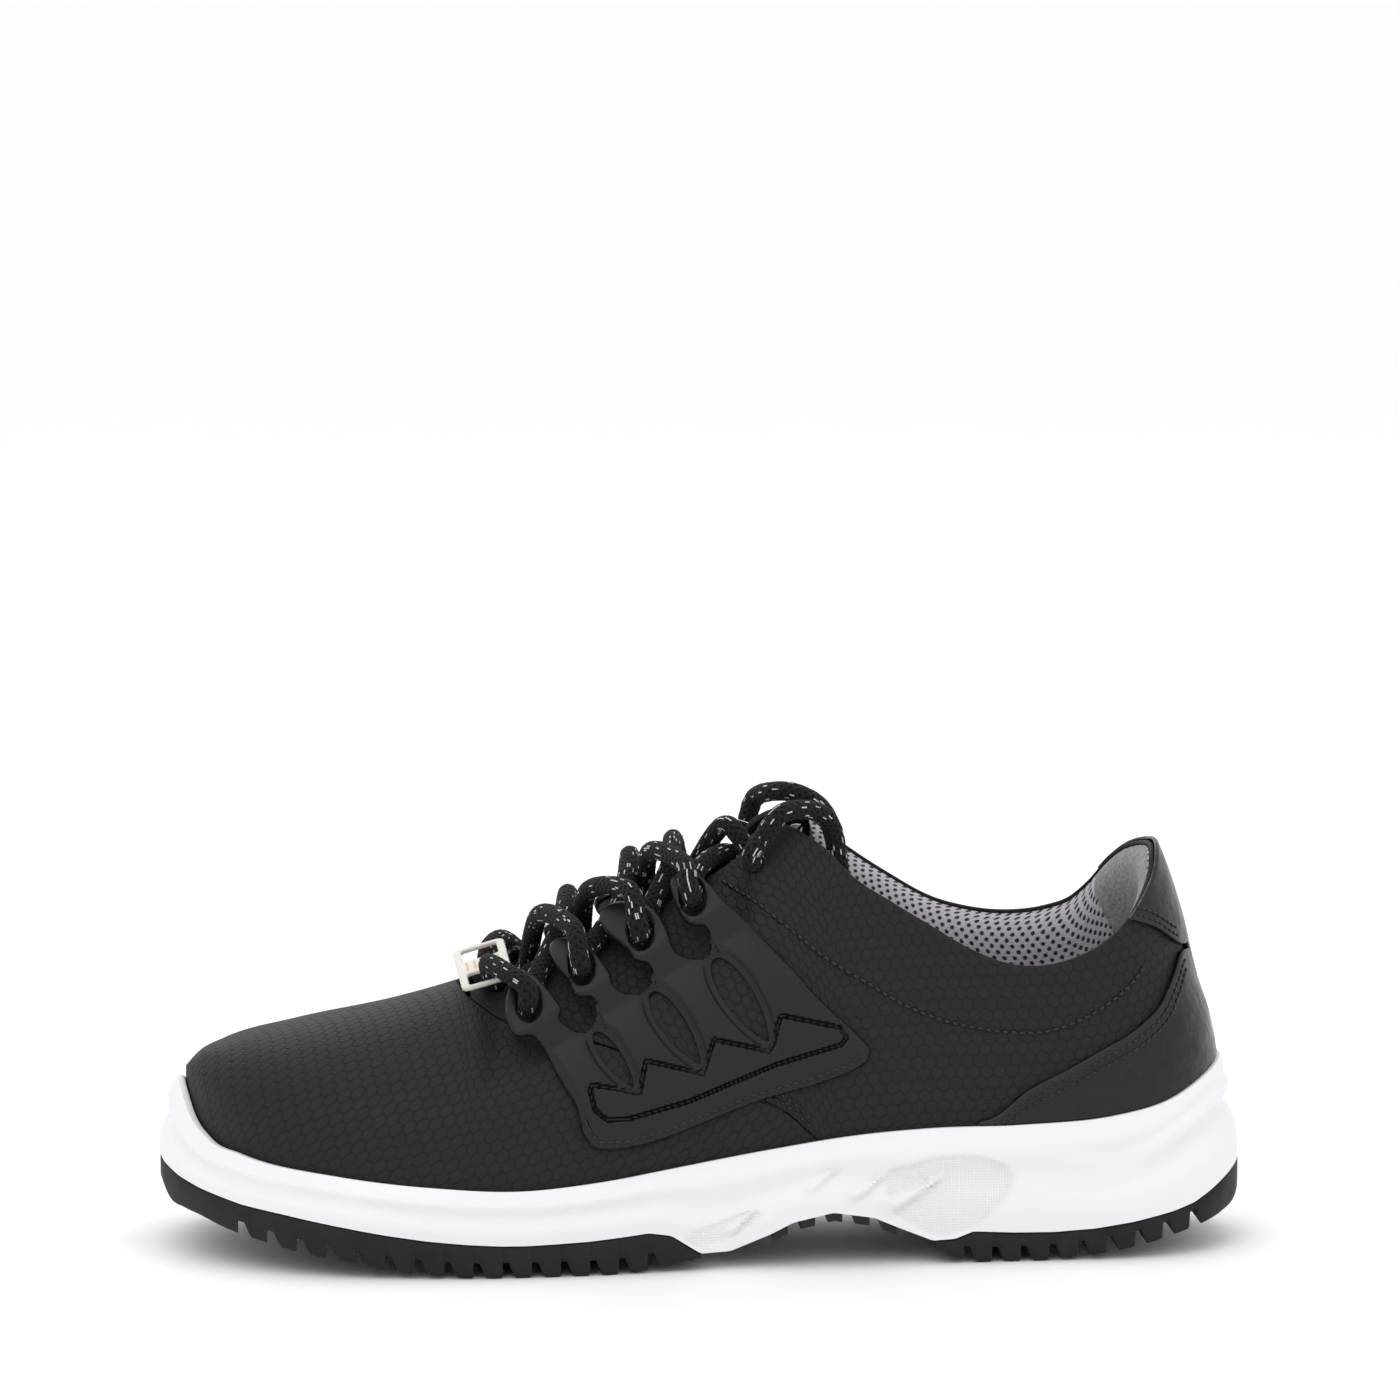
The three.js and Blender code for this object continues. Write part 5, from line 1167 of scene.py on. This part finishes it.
def tube(name, line, radius, material, relief, sides=36, round_ends=False, smooth_angle=0):
    """A round tube along a line of points with a frame carried from ring to ring, closed flat or by small
    domes. relief gives the change of radius from the length along in mm and the turn in radians."""
    tangent = np.gradient(line, axis=0)
    tangent /= np.linalg.norm(tangent, axis=1, keepdims=True)
    side = np.cross(tangent[0], (0.3, 0.2, 1.0))
    carried = [side / np.linalg.norm(side)]
    for ahead in tangent[1:]:
        side = carried[-1] - ahead * (carried[-1] @ ahead)
        carried.append(side / np.linalg.norm(side))
    u = np.array(carried)
    v = np.cross(tangent, u)
    run = run_along(line)
    turn = np.arange(sides) / sides * 2 * math.pi
    size = radius + relief(run[:, None], turn[None])
    if round_ends:
        near = np.minimum(run, run[-1] - run)[:, None]
        size = size * np.sqrt(1 - (1 - np.clip((near + 0.02) / (radius * 0.5), 0, 1)) ** 2)
    outwards = np.cos(turn)[None, :, None] * u[:, None] + np.sin(turn)[None, :, None] * v[:, None]
    rings = line[:, None] + size[..., None] * outwards
    rings = np.concatenate([line[:1, None].repeat(sides, 1), rings, line[-1:, None].repeat(sides, 1)])
    along = np.concatenate([[0], run, run[-1:]])
    uv = np.stack(np.broadcast_arrays(turn[None] * radius + 100, along[:, None] + 100), -1)
    return ring(name, rings.transpose(1, 0, 2), [material], uv=uv.transpose(1, 0, 2).reshape(-1, 2),
                period=2 * math.pi * radius, smooth_angle=smooth_angle)


def braid_relief(run, turn):
    """Two sets of six yarns crossing over and under: the higher of two slanting waves, each raised where its
    set is on top, which swaps from one crossing to the next."""
    a, b = 6 * turn + run * 2.1, 6 * turn - run * 2.1
    over = 0.12 * np.cos((a + b) / 2) * np.cos((a - b) / 2)
    return -0.3 + 0.26 * np.maximum(np.abs(np.cos(a / 2)) + over, np.abs(np.cos(b / 2)) - over)


def crimps(run, turn):
    """Two grooves 1.2 mm wide, pressed round the tip near its ends."""
    return -0.12 * ((np.abs(run - 4) < 0.6) | (np.abs(run - 16) < 0.6)) + 0 * turn


lace = tube("lace_braided", through(lace_route), lace_radius, braid, braid_relief)
place(lace, "shoe", "lace_textile", "lace")

# Crimped acetate tip, black and glossy.
acetate, tree, shader = finish_named("black_acetate", "#101011", 0.25, Coat_Weight=0.3)
bump(tree, shader, grain(tree, 3).outputs["Fac"], 0.05)
for label, route in (("lateral", lateral_end), ("medial", medial_end)):
    line = through(route)
    end = tube(f"lace_end_{label}_braided", line, lace_radius, braid, braid_relief)
    place(end, "shoe", "lace_textile", f"lace_end_{label}")
    onward = line[-1] - line[-4]
    onward /= np.linalg.norm(onward)
    tip_line = line[-1] + onward * (0.4 + np.linspace(0, 20, 41))[:, None]
    tip = tube(f"aglet_{label}_crimped", tip_line, 2.2, acetate, crimps, sides=32, round_ends=True,
               smooth_angle=40)
    place(tip, "shoe", "aglet_plastic", f"aglet_{label}")

# ---- Lace tag ----
# A small milky plastic plate that the lowest lace run passes through, and that tips a little on the lace.
# Plain pale gold bars are printed between its two slots.

tag_size, tag_wall, tag_slot, slot_offset = (14.5, 27), 1.3, (10, 8), 8.2
tag_centre = (-59.5, -5, 77)
roll_turn, pitch_turn = np.radians([14, -16])


def round_box(size, centre, radius, count=8):
    """The outline of a rounded rectangle."""
    turn = (np.arange(4)[:, None] * math.pi / 2 + np.linspace(0, math.pi / 2, count)[None])
    corner = np.array([(1, 1), (-1, 1), (-1, -1), (1, -1)]) * (np.array(size) / 2 - radius)
    return (np.array(centre) + corner[:, None] + radius
            * np.stack([np.cos(turn), np.sin(turn)], -1)).reshape(-1, 2)


across, along = (np.linspace(-size / 2, size / 2, count) for size, count in zip(tag_size, (60, 110)))
plane = np.stack(np.meshgrid(across, along, indexing="ij"), -1)
slots = [round_box(tag_slot, (0, side * slot_offset), 1.2) for side in (-1, 1)]
plane, distance, inside = cut_sheet(plane, round_box(tag_size, (0, 0), 2), slots)
level = tag_wall / 2 - rolled(-distance, 0.3)
cx, sx, cy, sy = math.cos(roll_turn), math.sin(roll_turn), math.cos(pitch_turn), math.sin(pitch_turn)
turn_x = np.array([[1, 0, 0], [0, cx, -sx], [0, sx, cx]])
turn_y = np.array([[cy, 0, sy], [0, 1, 0], [-sy, 0, cy]])
tilt = turn_y @ turn_x
laid = lambda height: np.concatenate([plane, height[..., None]], -1) @ tilt.T + tag_centre

# Milky clear vinyl, soft enough to let a little light through, with a satin gloss; its print is pale gold.
milky, tree, shader = finish_named("milky_clear_vinyl", "#dedbd4", 0.25, Alpha=0.85,
                                   Subsurface_Weight=0.3, Subsurface_Scale=0.002)
gold_print = add(tree, "ShaderNodeAttribute", attribute_name="print")
vary(tree, shader, "Base Color", gold_print.outputs["Fac"], linear("#dedbd4"), linear("#c3ab78"))
vary(tree, shader, "Alpha", gold_print.outputs["Fac"], 0.85, 1.0)
bump(tree, shader, grain(tree, 5).outputs["Fac"], 0.02)
bar_pitch, bar_half = 2.2, 0.32
bars = np.abs((plane[..., 0] + 100) % bar_pitch - bar_pitch / 2) < bar_half
bars &= (np.abs(plane[..., 1]) < 2.9) & (np.abs(plane[..., 0]) < 5)
tag = shell("lace_tag_printed", laid(level), laid(-level), [milky], keep=inside,
            values={"print": bars.astype(float)},
            smooth_angle=40)
place(tag, "tag", "tag_plastic", "lace_tag")

# ---- Floor, light and camera ----
# A plain pale floor under soft studio light, seen from the outer side and slightly from the toe end and
# above.

floor_material, tree, shader = finish_named("pale_studio_floor", "#fdfdfd", 0.6)
vary(tree, shader, "Roughness", grain(tree, 80).outputs["Fac"], 0.55, 0.65)
bpy.ops.mesh.primitive_plane_add(size=40, location=(0, 0, -0.0002))
floor = bpy.context.active_object
floor.name = "floor"
floor.data.materials.append(floor_material)
for name, spot, aim_height, width, power in (
        ("key", (-0.7, -1.3, 1.6), 0.05, 1.3, 6), ("fill", (1.2, -0.9, 0.9), 0.05, 1.2, 1.5),
        ("top", (0.1, 0.3, 1.9), 0, 1.6, 4), ("back", (-0.5, 1.6, 1.2), 0.08, 1.2, 3)):
    light = bpy.data.lights.new(name, "AREA")
    light.energy, light.size = power, width
    lamp = bpy.data.objects.new(name, light)
    lamp.location = spot
    lamp.rotation_euler = (Vector((0, 0, aim_height)) - Vector(spot)).to_track_quat("-Z", "Y").to_euler()
    bpy.context.scene.collection.objects.link(lamp)
world = bpy.data.worlds.new("studio")
world.use_nodes = True
world.node_tree.nodes["Background"].inputs["Color"].default_value = (1, 1, 1, 1)
world.node_tree.nodes["Background"].inputs["Strength"].default_value = 1.0
bpy.context.scene.world = world
bpy.context.scene.view_settings.view_transform = "Standard"

lens = bpy.data.cameras.new("camera")
lens.lens = 178.2
lens.sensor_width = 36
camera = bpy.data.objects.new("camera", lens)
camera.location = (-0.1307, -1.8694, 0.3686)
camera.rotation_euler = (math.radians(90 - 6.7), 0, math.radians(-4))
bpy.context.scene.collection.objects.link(camera)
bpy.context.scene.camera = camera
